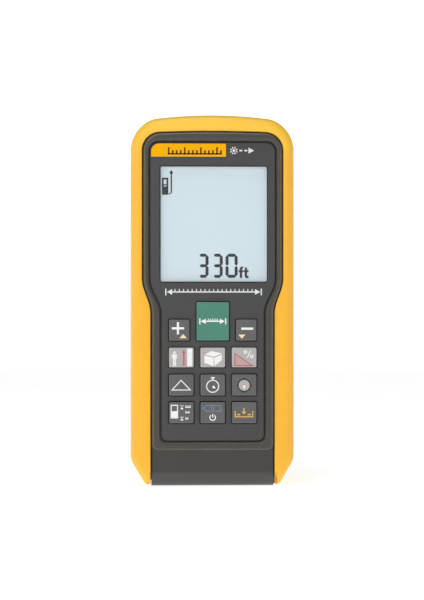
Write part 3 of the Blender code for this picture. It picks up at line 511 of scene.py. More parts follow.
core = [core_section(CORE_GAP + inset, END_FRONT + depth)
        for inset, depth in quarter_round(0.8, CORE_ROUND, 7)[::-1]]
core += [core_section(CORE_GAP, depth)
         for depth in np.linspace(END_FRONT + CORE_ROUND, CASE_END, 18)[1:]]
front_case = lofted("front_case", core)
shelf = [(1.2, -SHOULDER), (0.35, 0.5 - SHOULDER), (0, 1.4 - SHOULDER), (0, CASE_END)]
shoulder = lofted("shoulder", [(body_line(2 + inset, 2.3), depth) for inset, depth in shelf])
boolean(front_case, shoulder, operation="UNION")
recess_line = waisted_ring(FACE, -GROOVE)
recess = lofted("recess", [(recess_line, RECESS_FLOOR), (recess_line, -18)])
hollow_line = waisted_line(FRONT_OPENING, 2.1, 2.8)
hollow = lofted("hollow", [(hollow_line, -12.6), (hollow_line, 0)])
openings = []
for node, radius in (("lcd_panel", 1), ("keymat", 2)):
    low, high = reach(node)
    size = high - low + 2 * INSERT_GAP
    centre = (low + high) / 2
    outline = round_box(centre[0], centre[2], size[0], size[2], radius)
    openings.append(lofted("opening", [(outline, -20), (outline, -11)]))
boolean(front_case, recess, hollow, *openings)
charcoal = moulded("case_plastic", CHARCOAL, 0.42, 0.2, 0.012)
# Painted reflection of the floor: paler towards the bottom of the rear end.
charcoal.paint_by_height(FOOT_FLOOR_REFLECTION, 1, 0, *FLOOR_REFLECTION_HEIGHTS)
dress(front_case, charcoal, "root", "charcoal_plastic", "front_housing")

rim = [(RIM, RIM_GAP, RECESS_FLOOR + 0.3)]
rim += [(RIM, RIM_GAP + inset, RIM_FRONT + depth)
        for inset, depth in quarter_round(0.9, 0.9, 8)]
rim += [(FACE, -GROOVE - inset, RIM_FRONT + depth)
        for inset, depth in quarter_round(1, 1.4, 8)[::-1]]
rim += [(FACE, -GROOVE, RECESS_FLOOR + 0.3)]
rings = [(waisted_ring(shape, inset), depth) for shape, inset, depth in rim]
# Paler tone over the rim's rounded outer edge and, fainter, its inner slope: wear and painted
# highlight.
hump = np.sin(np.linspace(0, np.pi, 8))
rim_wear_and_highlight = np.concatenate([[0], hump, 0.4 * hump, [0, 0]])[:, None]
rim = lofted("faceplate_rim", rings + rings[:1], ends=False, wear=rim_wear_and_highlight)
rim_plastic = moulded("rim_plastic", RIM_BROWN, 0.36, 0.2, 0.01, wear_and_highlight_colour=RIM_EDGE)
dress(rim, rim_plastic, "root", "charcoal_plastic")


# ==== Rear case ====
# Rear half of the case in the same plastic. It carries the battery bay, the bracket's
# pocket, four screw wells, the recess for the label and the seat of the lens plate.


def refined(node, width):
    """A welded copy of a frame node, its flat faces joined and its edges rounded over a width."""
    piece = add(node + "_body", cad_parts[node].data.copy())
    weld = piece.modifiers.new("weld", "WELD")
    weld.merge_threshold = 0.005 * MM
    flat = piece.modifiers.new("flat", "DECIMATE")
    flat.decimate_type = "DISSOLVE"
    flat.angle_limit = math.radians(0.4)
    settle(piece, math.radians(36))
    if width:
        edges = piece.modifiers.new("edges", "BEVEL")
        edges.width = width * MM
        edges.segments = 3
        edges.angle_limit = math.radians(40)
        edges.harden_normals = True
    return piece


rear_plastic = moulded("rear_case_plastic", CHARCOAL, 0.42, 0.2, 0.012)
dress(refined("rear_housing", 0), rear_plastic, "root", "charcoal_plastic", "rear_housing")


# ==== Faceplate ====
# Flat plate of hard-coated film on plastic, set in the recess with a dark groove round
# it, and pierced for the display window and the twelve keys.

FACE_GREY = (58, 59, 58)
FILM_ROUND = 0.25
face_low, face_high = reach("faceplate")
FACE_FRONT = face_low[1]
WINDOW_X, WINDOW_Z = 0.4, 89.55
WINDOW_WIDTH, WINDOW_HEIGHT = 37, 40
KEY_CORNER = 0.45
KEY_FLANGE = 0.5
KEYS = ["key_measure", "key_plus", "key_minus", "key_height", "key_volume", "key_slope"]
KEYS += ["key_triangle", "key_timer", "key_compass", "key_reference", "key_clear", "key_memory"]


def key_size(name):
    """A key's centre, and its width and height without the flange."""
    low, high = reach(name)
    width, _, height = high - low - 2 * KEY_FLANGE
    return (low + high)[0] / 2, (low + high)[2] / 2, width, height


def window_line(grow, radius):
    """The display cut, made wider and higher by a clearance."""
    return round_box(WINDOW_X, WINDOW_Z, WINDOW_WIDTH + grow, WINDOW_HEIGHT + grow, radius)


plate = [(waisted_ring(FACE, inset), FACE_FRONT + depth)
         for inset, depth in quarter_round(FILM_ROUND, FILM_ROUND, 7)[::-1]]
plate.append((waisted_ring(FACE, 0), face_high[1]))
faceplate = lofted("faceplate_film", plate)
outlines = [window_line(0, 0.9)]
for name in KEYS:
    x, z, width, height = key_size(name)
    outlines.append(round_box(x, z, width + 0.4, height + 0.4, KEY_CORNER + 0.2))
boolean(faceplate, *[lofted("cut", [(line, -20), (line, -12)]) for line in outlines])
film = moulded("faceplate_film", FACE_GREY, 0.45, 0.12, 0.004, cloud=0.015)
dress(faceplate, film, "root", "face_plastic", "faceplate")


# ==== Printing on the faceplate ====
# Screen printing, a few hundredths of a millimetre thick: a yellow bar with scale
# marks, a beam symbol, and a dimension line across the width under the display.

BAR_YELLOW = (248, 178, 0)
BAR_BROWN = (86, 48, 10)
PRINT_WHITE = (226, 228, 228)
PRINT_DARK = (40, 40, 40)
LIFT = 0.02
ON_FACE = FACE_FRONT - LIFT


def band(points, width, closed=False):
    """Quads along a line of (x, z) points: each point moves both ways along its mitred normal."""
    points = np.array(points, dtype=float)
    ahead = np.roll(points, -1, axis=0) - points
    if not closed:
        ahead[-1] = ahead[-2]
    ahead /= np.linalg.norm(ahead, axis=1, keepdims=True)
    behind = np.roll(ahead, 1, axis=0)
    if not closed:
        behind[0] = ahead[0]
    normal = np.stack([-(ahead + behind)[:, 1], (ahead + behind)[:, 0]], axis=1)
    square = np.stack([-ahead[:, 1], ahead[:, 0]], axis=1)
    normal /= np.einsum("ij,ij->i", normal, square)[:, None]
    left, right = points + normal * width / 2, points - normal * width / 2
    quads = np.stack([left, np.roll(left, -1, axis=0), np.roll(right, -1, axis=0), right], axis=1)
    return list(quads if closed else quads[:-1])


def round_line(x, z, radius, width, start=0, end=360, steps=32):
    """Quads along an arc, angles in degrees."""
    closed = end - start == 360
    turn = np.radians(np.linspace(start, end, steps, endpoint=not closed))
    return band(arc(x, z, radius, turn), width, closed)


def full_turn(steps):
    """Angles once round."""
    return np.linspace(0, 2 * np.pi, steps, endpoint=False)


def disc(x, z, radius, steps=24):
    """A round spot as one outline."""
    return [arc(x, z, radius, full_turn(steps))]


def slabs(*boxes):
    """Rectangles as outlines, each from its centre, width and height."""
    corners = np.array([(-0.5, -0.5), (0.5, -0.5), (0.5, 0.5), (-0.5, 0.5)])
    return [corners * (width, height) + (x, z) for x, z, width, height in boxes]


def printed(name, shapes, front, finish, body, slot, thickness=0.06):
    """Thin prisms on (x, z) outlines, whose faces lie at a depth."""
    points, faces = [], []
    start = 0
    for outline in map(np.array, shapes):
        count = len(outline)
        area = np.cross(outline, np.roll(outline, -1, axis=0)).sum()
        line = outline if area > 0 else outline[::-1]
        points += [at_depth(line, front), at_depth(line, front + thickness)]
        near = start + np.arange(count)
        far = near + count
        faces += [near.tolist(), far[::-1].tolist()]
        faces += np.stack([near, far, np.roll(far, -1), np.roll(near, -1)], axis=1).tolist()
        start += 2 * count
    mesh = bpy.data.meshes.new(name)
    mesh.from_pydata(np.concatenate(points) * MM, [], faces)
    dress(add(name, mesh), finish, body, slot)


def ink(name, colour, roughness=0.45, shine=0.25):
    """Printing ink: a faintly mottled colour, with a slightly raised, uneven film."""
    finish = Finish(name, roughness)
    mottle = finish.noise(0.3)
    finish.paint(finish.spread(mottle, 0, 1), tinted(colour, 0.97), tinted(colour, 1.02))
    finish.drive("Roughness", finish.spread(mottle, roughness - 0.05, roughness + 0.05))
    finish.fix({"Specular IOR Level": shine})
    finish.bump(mottle, 0.003)
    return finish


white_ink = ink("white_ink", PRINT_WHITE)
dark_ink = ink("dark_ink", PRINT_DARK)
brown_ink = ink("brown_ink", BAR_BROWN)
yellow_ink = ink("yellow_ink", BAR_YELLOW, 0.6, 0.1)
BAR_LEFT, BAR_RIGHT, BAR_LOW, BAR_HIGH = -21, 4.5, 112.5, 116.95
BAR_CORNER = 2.75
turn = np.linspace(np.pi / 2, np.pi, 12)
corner = arc(BAR_LEFT + BAR_CORNER, BAR_HIGH - BAR_CORNER, BAR_CORNER, turn)
bar = np.concatenate([[(BAR_RIGHT, BAR_HIGH)], corner, [(BAR_LEFT, BAR_LOW), (BAR_RIGHT, BAR_LOW)]])
printed("yellow_bar", [bar], ON_FACE, yellow_ink, "root", "yellow_elastomer")
marks = slabs((-6.1, BAR_LOW + 0.95, 18.2, 0.5))
for number in range(14):
    length = 2.5 if number % 4 == 0 else 1.5
    marks += slabs((-15 + 1.37 * number, BAR_LOW + 0.7 + length / 2, 0.55, length))
printed("bar_scale", marks, ON_FACE - LIFT, brown_ink, "root", "face_plastic")
BEAM_X, BEAM_Z = 7.2, 114.6
beam = disc(BEAM_X, BEAM_Z, 0.45)
for turn in np.radians(np.arange(0, 360, 45) + 22.5):
    beam += band([arc(BEAM_X, BEAM_Z, radius, turn) for radius in (1.35, 0.7)], 0.36)
beam += slabs((9.6, BEAM_Z, 1, 0.5), (11.3, BEAM_Z, 1, 0.5))
beam += [[(12.2, 113.6), (14.1, BEAM_Z), (12.2, 115.6)]]
printed("beam_symbol", beam, ON_FACE, white_ink, "root", "pale_key_rubber")


def dimension_line(x, z, width, height, thick, ticks):
    """A line between two end bars, with an arrowhead at each end and ticks along it."""
    half = width / 2
    end = half - thick / 2
    shapes = slabs((x - end, z, thick, height), (x + end, z, thick, height))
    head = 0.42 * height
    for side in (-1, 1):
        tip = x + side * (half - 1.3 * thick)
        back = tip - side * 1.9 * head
        shapes.append([(tip, z), (back, z + head), (back, z - head)])
    shapes += slabs((x, z, width - 2.6 * thick - 3.8 * head, thick))
    run = half - 2.6 * head - 2 * thick
    for place in np.linspace(x - run, x + run, ticks):
        shapes += slabs((place, z + 0.5 * thick + 0.17 * height, 0.7 * thick, 0.34 * height))
    return shapes


width_line = dimension_line(0.3, 66.4, 33, 2.3, 0.42, 19)
printed("width_line", width_line, ON_FACE, white_ink, "root", "pale_key_rubber")


# ==== Keys ====
# Twelve keys moulded in silicone rubber: dark grey, three pale grey and one green.
# Each is a flat-topped block with a narrow rounded edge over a flange and a stem.

KEY_TOP = cad_low.y / MM + 0.06
KEY_ROUND = 0.42
KEY_DRAFT = 0.1
KEY_FACE = 0.75
STEM = 3.2
STEM_BACK, FLANGE_BACK, FLANGE_FRONT = -10.9, -11.9, -12.55
# The edge tones are paler colours for the keys' rounded edges: wear and painted highlight.
GREY, GREY_EDGE = (89, 89, 89), (122, 121, 120)
PALE, PALE_EDGE = (174, 172, 169), (200, 199, 197)
GREEN, GREEN_EDGE = (66, 129, 109), (112, 134, 122)
grey_rubber = moulded("grey_key_rubber", GREY, 0.52, 0.16, 0.006, GREY_EDGE)
pale_rubber = moulded("pale_key_rubber", PALE, 0.5, 0.16, 0.006, PALE_EDGE)
green_rubber = moulded("green_key_rubber", GREEN, 0.5, 0.16, 0.006, GREEN_EDGE)


def key_block(name):
    """Rings of a key: stem, flange, drafted sides, an edge of a quarter circle, and a flat top."""
    x, z, width, height = key_size(name)

    def outline(inset):
        radius = max(KEY_CORNER - 0.4 * inset, 0.06)
        return round_box(x, z, width - 2 * inset, height - 2 * inset, radius)

    stem = round_box(x, z, STEM, STEM, 0.6)
    flange = outline(-KEY_FLANGE)
    rings = [(stem, STEM_BACK), (stem, FLANGE_BACK), (flange, FLANGE_BACK)]
    rings += [(flange, FLANGE_FRONT), (outline(0), FLANGE_FRONT)]
    rings += [(outline(KEY_DRAFT + inset), KEY_TOP + depth)
              for inset, depth in quarter_round(KEY_ROUND, KEY_ROUND, 6)]
    rings.append((outline(KEY_FACE), KEY_TOP))
    # Paler tone round the rounded edge: wear and painted highlight.
    wear = np.array([0, 0, 0, 0, 0, 0, 0.3, 0.6, 0.5, 0.2, 0, 0])[:, None]
    return lofted(name + "_block", rings, wear=wear)


for name in KEYS:
    if name == "key_measure":
        rubber, slot = green_rubber, "green_key_rubber"
    elif name in ("key_height", "key_volume", "key_slope"):
        rubber, slot = pale_rubber, "pale_key_rubber"
    else:
        rubber, slot = grey_rubber, "key_rubber"
    dress(key_block(name), rubber, name, slot, name)


# ==== Legends on the keys ====
# Pad-printed symbols in white, cream, red, blue-grey and amber, one set on each key.
# Where two inks lie over each other, the upper one is a level higher.

key_white = ink("key_white_ink", (240, 241, 241))
cream_ink = ink("cream_ink", (240, 222, 176))
red_ink = ink("red_ink", (188, 84, 96))
pink_ink = ink("pink_ink", (196, 160, 159))
blue_ink = ink("blue_ink", (118, 134, 158))
amber_ink = ink("amber_ink", (226, 178, 92))
LEVEL = 0.015


def legend(key, suffix, finish, shapes, level=0):
    """Print shapes, given about the key's centre, on the top of that key."""
    x, z, _, _ = key_size("key_" + key)
    placed = [np.array(outline) + (x, z) for outline in shapes]
    front = KEY_TOP - LIFT - LEVEL * level
    name = "legend_" + key + "_" + suffix
    printed(name, placed, front, finish, "key_" + key, "pale_key_rubber", 0.04)


legend("measure", "line", key_white, dimension_line(0, 0, 9.2, 2.1, 0.4, 5))

cross = slabs((-0.47, 0.63, 4.2, 0.74), (-0.47, 1.86, 0.74, 1.72), (-0.47, -0.6, 0.74, 1.72))
legend("plus", "cross", key_white, cross)
legend("plus", "arrow", cream_ink, [[(0, -2.75), (2.6, -2.75), (1.3, -1.3)]])
legend("minus", "bar", key_white, slabs((0.33, 0.5, 4.1, 0.76)))
legend("minus", "arrow", cream_ink, [[(-2.75, -1.5), (-0.25, -1.5), (-1.5, -2.95)]])

figure = disc(-2.35, 1.65, 0.42) + [[(-2.9, 1.1), (-1.8, 1.1), (-1.85, -0.6), (-2.85, -0.6)]]
figure += slabs((-2.62, -1.75, 0.4, 2.3), (-2.08, -1.75, 0.4, 2.3))
figure += slabs((-3.12, 0.35, 0.26, 1.5), (-1.58, 0.35, 0.26, 1.5))
shade = [(0.25, -2.9), (1.75, -2.9), (1.75, -0.4), (0.9, 1)]
arrow = slabs((0.85, -0.6, 0.42, 4.2)) + [[(0.3, 1.5), (1.4, 1.5), (0.85, 2.7)]]
legend("height", "figure", key_white, figure)
legend("height", "wall", key_white, slabs((2.85, 0.05, 1.7, 6)))
legend("height", "shade", pink_ink, [shade])
legend("height", "arrow", red_ink, arrow, 1)

box_front = [(-2.85, 0.7), (0.3, -0.1), (0.3, -2.95), (-2.85, -1.85)]
box_side = [(0.55, -0.15), (3.1, 1.05), (3, -0.95), (0.55, -2.9)]
box_top = [(-2.6, 1), (-0.6, 2.2), (3, 1.4), (0.45, 0.2)]
legend("volume", "box", key_white, [box_front, box_side, box_top])
legend("volume", "edge", pink_ink, band([(-3.4, 1.15), (-0.9, 2.5), (3.6, 2.2)], 0.22))

slope = band([(-3.2, 1.25), (-3.2, -2.8), (2.75, -2.8)], 0.3, closed=True)
percent = round_line(0.4, 1.85, 0.45, 0.34) + round_line(2.55, 0.35, 0.45, 0.34)
percent += band([(2.2, 2.4), (1, -0.2)], 0.32)
legend("slope", "fill", pink_ink, [[(-3, -2.55), (1.9, -2.55), (-3, 0.7)]])
legend("slope", "triangle", red_ink, slope, 1)
legend("slope", "percent", key_white, percent)

triangle = band([(-3.2, -1.65), (3.05, -1.65), (-0.1, 1.65)], 0.32, closed=True)
legend("triangle", "outline", key_white, triangle)

watch = round_line(-0.05, -0.4, 2.05, 0.34, steps=40)
watch += slabs((0, 2.5, 1.35, 0.46), (0, 2.06, 0.4, 0.42))
watch += [[(-0.3, -0.75), (0.3, -0.1), (1, -1), (0.45, -1.2)]]
legend("timer", "watch", key_white, watch)

ring = round_line(0, -0.1, 2.1, 0.34, steps=40)
ring += [[(-0.4, 2.1), (0.4, 2.1), (0, 2.6)], [(-0.4, -2.3), (0.4, -2.3), (0, -2.8)]]
ring += [[(2.2, 0.3), (2.2, -0.5), (2.7, -0.1)], [(-2.2, 0.3), (-2.2, -0.5), (-2.7, -0.1)]]
legend("compass", "ring", dark_ink, ring)
legend("compass", "dial", pale_rubber, disc(0, -0.1, 1.85, 40))
legend("compass", "north", pink_ink, [[(-0.5, -0.1), (0.5, -0.1), (0, 1.4)]], 1)
legend("compass", "south", key_white, [[(-0.5, -0.15), (0.5, -0.15), (0, -1.6)]], 1)

meter = band([(-3.45, -1.75), (-1.3, -1.75), (-1.3, 2.55), (-3.45, 2.55)], 0.34, closed=True)
meter += slabs((-2.38, -0.5, 1.78, 2.1))
units = [[(-0.35, 1.2), (0.75, 1.2), (0.2, 2)], [(-0.35, -2.6), (0.75, -2.6), (0.2, -1.8)]]
units += slabs((0.2, 2.35, 1.1, 0.22), (0.2, -1.5, 1.1, 0.22))
for row, length in ((1.85, 1.9), (0, 1.5), (-2.1, 1.1)):
    units += slabs((1.3 + length / 2, row, length, 0.3))
    units += slabs(*[(1.3 + tick, row + 0.4, 0.16, 0.5) for tick in np.arange(0.15, length, 0.42)])
legend("reference", "meter", key_white, meter)
legend("reference", "units", key_white, units)

eraser = band([(-3.4, 1.5), (-2.1, 2.45), (2.7, 2.45), (2.7, 0.55), (-2.1, 0.55)], 0.3, closed=True)
strokes = [(-0.5, 2, 0.6, 1), (0.6, 2, 0.21, 1.645), (-0.11, 1.355, -0.5, 1)]
for stroke in strokes:
    eraser += band([stroke[:2], stroke[2:]], 0.28)
power = round_line(-0.05, -1.65, 0.95, 0.34, 125, 415) + slabs((-0.05, -1, 0.32, 1.2))
legend("clear", "erase", blue_ink, eraser)
legend("clear", "power", key_white, power)

store = band([(-3.1, 0.55), (-3.1, -1.4), (2.9, -1.4), (2.9, 0.55)], 0.36)
store += slabs((-0.1, 0.95, 0.44, 1.2)) + [[(-0.95, 0.35), (0.75, 0.35), (-0.1, -0.65)]]
store += slabs((-1.9, -0.65, 1.1, 0.5), (1.7, -0.65, 1.1, 0.5))
legend("memory", "store", amber_ink, store)


# ==== Display ====
# A reflective liquid crystal panel behind a clear hard-coated window. The panel is
# an even pale blue-grey, and its dark segments show a reading and two symbols.

PANEL_BLUE = (198, 214, 221)
SEGMENT = (14, 19, 23)
MASK_BLACK = (22, 24, 25)
ON_PANEL = reach("lcd_panel")[0][1] - 0.05
window_low, window_high = reach("display_window")


def refinish(finish, *names):
    """Give frame nodes a material in place of their plain one."""
    for name in names:
        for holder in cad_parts[name].material_slots:
            holder.material = finish.material


crystal = Finish("liquid_crystal", 0.35)
cells = crystal.spread(crystal.noise(0.25), 0, 1)
crystal.paint(cells, tinted(PANEL_BLUE, 0.993), tinted(PANEL_BLUE, 1.007))
# Painted glow: a faint emission lifts the panel to an even pale tone, though no lamp lights it.
crystal.fix({"Emission Color": linear(PANEL_BLUE), "Emission Strength": 0.12})
crystal.bump(cells, 0.001)
refinish(crystal, "lcd_panel")

clear = Finish("window_plastic", 0.06)
clear.drive("Roughness", clear.spread(clear.noise(7, 4), 0.03, 0.09))
clear.paint(clear.spread(clear.noise(0.4), 0, 1), (226, 231, 233), (232, 236, 238))
clear.fix({"Alpha": 0.03})
pane = [(0, window_high[1]), (0, window_low[1] + 0.12)]
pane += [(0.04, window_low[1] + 0.04), (0.12, window_low[1])]
pane = [(window_line(-0.2 - 2 * inset, 0.8 - inset), depth) for inset, depth in pane]
dress(lofted("window_pane", pane), clear, "root", "clear_plastic", "display_window")

LIT = {"3": "abgcd", "0": "abcdef"}
BAR_ENDS = {"a": "lt rt", "b": "rt rm", "c": "rm rb", "d": "lb rb", "e": "lm lb", "f": "lt lm",
            "g": "lm rm"}
DIGIT_LOW, DIGIT_HEIGHT, DIGIT_BAR, DIGIT_GAP = 71.75, 7.2, 1.04, 0.03


def digit(name, left, width):
    """Seven-bar digit: each lit bar is a long hexagon on its own side of two stacked squares."""
    x = {"l": left, "r": left + width}
    z = {"b": DIGIT_LOW, "m": DIGIT_LOW + DIGIT_HEIGHT / 2, "t": DIGIT_LOW + DIGIT_HEIGHT}
    shapes = []
    for lit in LIT[name]:
        start, end = [np.array((x[at[0]], z[at[1]])) for at in BAR_ENDS[lit].split()]
        along = (end - start) / np.linalg.norm(end - start)
        out = np.array((-along[1], along[0])) * DIGIT_BAR / 2
        start, end = start + along * DIGIT_GAP, end - along * DIGIT_GAP
        into = along * DIGIT_BAR / 2
        shapes.append([start, start + into + out, end - into + out,
                       end, end - into - out, start + into - out])
    return shapes


segment_ink = ink("segment_ink", SEGMENT, 0.3)
reading = digit("3", -4.5, 2.6) + digit("3", 0.35, 2.6) + digit("0", 4.95, 3.1)
reading += band([(10.4, 74.7), (9.95, 74.7), (9.7, 74.35), (9.7, 71.2)], 0.8)
reading += slabs((9.1, 73.5, 0.4, 0.7), (10.3, 73.5, 0.4, 0.7))
reading += band([(11.4, 74.75), (11.4, 71.8), (11.65, 71.5), (12.3, 71.5)], 0.8)
reading += slabs((10.83, 73.5, 0.34, 0.7), (12.05, 73.5, 0.5, 0.7))
printed("reading", reading, ON_PANEL, segment_ink, "root", "chip_black", 0.04)
symbols = band([(-17, 99.9), (-15.45, 99.9), (-15.45, 105.1), (-17, 105.1)], 0.62, closed=True)
symbols += slabs((-16.225, 101.3, 0.93, 2.18), (-16.225, 102.95, 0.93, 0.4))
symbols += slabs((-14.1, 103.3, 0.48, 6.3)) + [[(-14.8, 107), (-13.4, 107), (-14.1, 108.1)]]
symbols += [[(-14.7, 107), (-13.5, 107), (-14.1, 106.3)]] + slabs((-14.65, 99.95, 0.62, 0.5))
printed("symbols", symbols, ON_PANEL, segment_ink, "root", "chip_black", 0.04)

mask_ink = ink("mask_ink", MASK_BLACK, 0.5)
mask = band(window_line(0.2, 1), 0.9, closed=True)
printed("window_mask", mask, window_high[1] + 0.04, mask_ink, "root", "black_rubber")

clouded = moulded("backlight_acrylic", (235, 235, 230), 0.4, 0.5, 0.004)
striped = moulded("striped_rubber", (60, 60, 62), 0.6, 0.3, 0.01)
refinish(clouded, "backlight")
refinish(striped, "lcd_connector")


# ==== Rubber parts ====
# Black silicone: the web that guides the keys, the seal between the case halves and
# the ring under the battery door.

black_rubber = moulded("black_rubber", (30, 30, 31), 0.6, 0.25, 0.012)
refinish(black_rubber, "keymat", "housing_seal", "battery_door_seal")


# ==== Lens end ====
# A black plate in the lens end frames two coated windows: a large one over the
# receiver and a small one over the laser. Behind them sit the moulded chassis, the
# lenses, the laser module and the detector.

plate_plastic = moulded("lens_plate_plastic", (26, 26, 28), 0.38, 0.14, 0.006)
chassis_plastic = moulded("chassis_plastic", (34, 34, 36), 0.55, 0.3, 0.01)
RECEIVER = (-5.5, 2.8, 8.2)
EMITTER = (10.5, 2.8, 2.6)


def swept(x, y, radius, angle, along):
    """Grid of points at a radius and an angle about a line, and at a place along it."""
    across, up = x + radius * np.cos(angle), y + radius * np.sin(angle)
    return np.stack(np.broadcast_arrays(across, up, along), axis=-1)


def turned(name, profile, centre=(0, 0), columns=64, ends=True):
    """Surface of revolution: each (radius, height) pair swept round an upright axis."""
    radius, height = np.array(profile, dtype=float).T[:, :, None]
    return skin(name, swept(*centre, radius, full_turn(columns), height), ends=ends)


top_edge = [(124.5, 0), (125.5, 0), (125.75, -0.1), (125.88, -0.28), (125.9, -0.45)]
lens_plate = nose_solid("lens_plate_frame", top_edge)
for x, y, radius in (RECEIVER, EMITTER):
    cone = [(0, 120), (0, 125.25), (0.08, 125.4), (0.7, 125.85), (1.1, 126.3)]
    cone = [(radius + flare, height) for flare, height in cone]
    boolean(lens_plate, turned("cone", cone, (x, y)))
dress(lens_plate, plate_plastic, "root", "black_rubber", "lens_plate")


def coated(name, tint, base, alpha):
    """Coated glass: clear, with a tinted reflection that varies slightly over the surface."""
    finish = Finish(name, 0.03, ior=1.6)
    finish.paint(finish.spread(finish.noise(6), 0, 1), base, tinted(base, 1.1))
    finish.fix({"Alpha": alpha, "Coat Weight": 1, "Coat Roughness": 0.02,
                "Coat Tint": linear(tint), "Specular Tint": linear(tint)})
    return finish


window_glass = coated("window_glass", (196, 178, 236), (60, 52, 96), 0.35)
lens_glass = coated("lens_glass", (190, 214, 240), (150, 166, 186), 0.45)
for name, (x, y, _) in (("receiver_window", RECEIVER), ("laser_window", EMITTER)):
    low, high = reach(name)
    edge, top = (high - low)[0] / 2, high[2]
    profile = [(edge, low[2]), (edge, top - 0.15), (edge - 0.06, top - 0.05), (edge - 0.18, top)]
    profile += [(edge * share, top) for share in (0.6, 0.3, 0.02)]
    dress(turned(name + "_glass", profile, (x, y)), window_glass, "root", "glass", name)
refinish(lens_glass, "receiver_lens", "collimator_lens")
refinish(chassis_plastic, "optics_chassis")


# ==== Metal parts ====
# Nickel-plated steel for the screws, springs, contacts and the hinge pin, and brass
# for the tripod bush and the laser module.


def metal(name, colour, roughness, stretch=(1, 1, 1), grain=0.08):
    """Metal with fine tool marks in its roughness and bump, and faint staining in its colour."""
    finish = Finish(name, roughness, 1)
    marks = finish.noise(grain, 3, stretch)
    finish.paint(finish.spread(finish.noise(3, 3), 0, 1), tinted(colour, 0.9), colour)
    finish.drive("Roughness", finish.spread(marks, roughness - 0.08, roughness + 0.1))
    finish.bump(marks, 0.004)
    return finish


nickel = metal("nickel_plate", (188, 186, 180), 0.28)
brass = metal("turned_brass", (208, 172, 98), 0.3, (1, 1, 12), 0.3)
refinish(nickel, "bracket_pin", "contact_plate", "contact_plate_upper", "dome_sheet",
         "photodiode", "tilt_sensor")
refinish(brass, "laser_module")

LOBES = 6
SCREW_SIDES = 72
SCREW_HEAD = 1.6
angle = full_turn(SCREW_SIDES)
for name in ("top_left", "top_right", "low_left", "low_right"):
    low, high = reach("housing_screw_" + name)
    x, z = (low + high)[0] / 2, (low + high)[2] / 2
    head = high[1] - SCREW_HEAD
    turns = [(0.6, low[1]), (1, low[1] + 0.6), (1, head), (1.8, head), (1.8, head + 1.1)]
    turns += [(1.8 - 0.5 * (1 - math.cos(t)), head + 1.1 + 0.5 * math.sin(t))
              for t in np.linspace(0.3, 1.4, 4)]
    turns += [(1.15, high[1])]
    radius, depth = np.array(turns).T
    wave = np.cos(LOBES * angle)
    socket = [0.72 + 0.13 * wave, 0.72 + 0.13 * wave, 0.6 + 0.11 * wave, np.full(SCREW_SIDES, 0.05)]
    radius = np.concatenate([np.repeat(radius[:, None], SCREW_SIDES, axis=1), socket])
    depth = np.concatenate([depth, high[1] - np.array([0, 0.85, 0.9, 0.95])])
    grid = swept(x, z, radius, angle, depth[:, None])[..., [0, 2, 1]]
    screw = skin("case_screw_" + name, grid)
    dress(screw, nickel, "root", "steel", "housing_screw_" + name)

bush_low, bush_high = reach("tripod_insert")
BUSH_RADIUS = (bush_high - bush_low)[0] / 2
BUSH_SIDES = 96
THREAD_PITCH = 1.27
THREAD_ROOT = 3.175
THREAD_DEPTH = 0.42
THREAD_START = 0.75
angle = full_turn(BUSH_SIDES)
heights = np.linspace(bush_high[2] - 1.2, bush_low[2] + THREAD_START, 110)[:, None]
wave = np.abs(((heights / THREAD_PITCH - angle / (2 * np.pi)) % 1) * 2 - 1)
fade = soft_step((heights - bush_low[2] - THREAD_START) / 0.5)
bore = THREAD_ROOT - THREAD_DEPTH * fade * np.clip(wave * 1.4 - 0.2, 0, 1)
outside = [(3.62, 0), (4.2, 0), (BUSH_RADIUS, 0.2), (BUSH_RADIUS, 3.3), (3.9, 3.7), (3.9, 4.9)]
outside += [(BUSH_RADIUS, 5.3), (BUSH_RADIUS, bush_high[2] - bush_low[2])]
radius, rise = np.array(outside).T[:, :, None]
radius = np.concatenate([bore, np.repeat(radius, BUSH_SIDES, axis=1)])
heights = np.concatenate([heights, rise + bush_low[2]])
bush = skin("threaded_bush", swept(0, 0, radius, angle, heights))
dress(bush, brass, "root", "brass", "tripod_insert")


# ==== Batteries ====
# Two penlight cells in plastic sleeves with a copper-coloured band at the positive
# end, a conical spring at the negative end of each, and the door over the bay.

SLEEVE_DARK = (38, 41, 47)
SLEEVE_COPPER = (196, 122, 62)
BARE_STEEL = (190, 188, 182)
CELL_HEIGHT = 44.5
SPRING_WIRE = 0.28
SPRING_TURNS = 4
for name, up in (("battery_left", True), ("battery_right", False)):
    low, high = reach(name)
    radius = (high - low)[0] / 2
    profile = [(4.2, 0.35), (4.4, 0.05), (4.8, 0.12), (5.1, 0.3), (radius, 0.7), (radius, 42.1)]
    profile += [(5.15, 42.5), (4.85, 42.8), (4.4, 43.1), (4, 43.2), (1.95, 43.3), (1.9, 44.2)]
    profile += [(1.75, 44.42), (1.5, CELL_HEIGHT), (0.1, CELL_HEIGHT)]
    if not up:
        profile = [(r, CELL_HEIGHT - h) for r, h in reversed(profile)]
    end, other, sign = (high[2], low[2], 1) if up else (low[2], high[2], -1)
    sleeve = Finish(name + "_sleeve", 0.25)
    copper, bare, base = [
        sleeve.spread(sleeve.height(), 0, 1, (start + sign * a) * MM, (start + sign * b) * MM)
        for start, a, b in ((end, -12.5, -12.3), (end, -1.75, -1.65), (other, 0.5, 0.4))]
    body = sleeve.mix(copper, SLEEVE_DARK, SLEEVE_COPPER)
    sleeve.paint(base, sleeve.mix(bare, body, BARE_STEEL), BARE_STEEL)
    sleeve.drive("Metallic", bare)
    wrap = sleeve.noise(1.6, 3, (1, 1, 0.2))
    sleeve.drive("Roughness", sleeve.spread(wrap, 0.2, 0.32))
    sleeve.bump(wrap, 0.01)
    profile = [(r, h + low[2]) for r, h in profile]
    cell = turned(name + "_cell", profile, (low + high)[:2] / 2)
    dress(cell, sleeve, "root", "cell_skin", name)

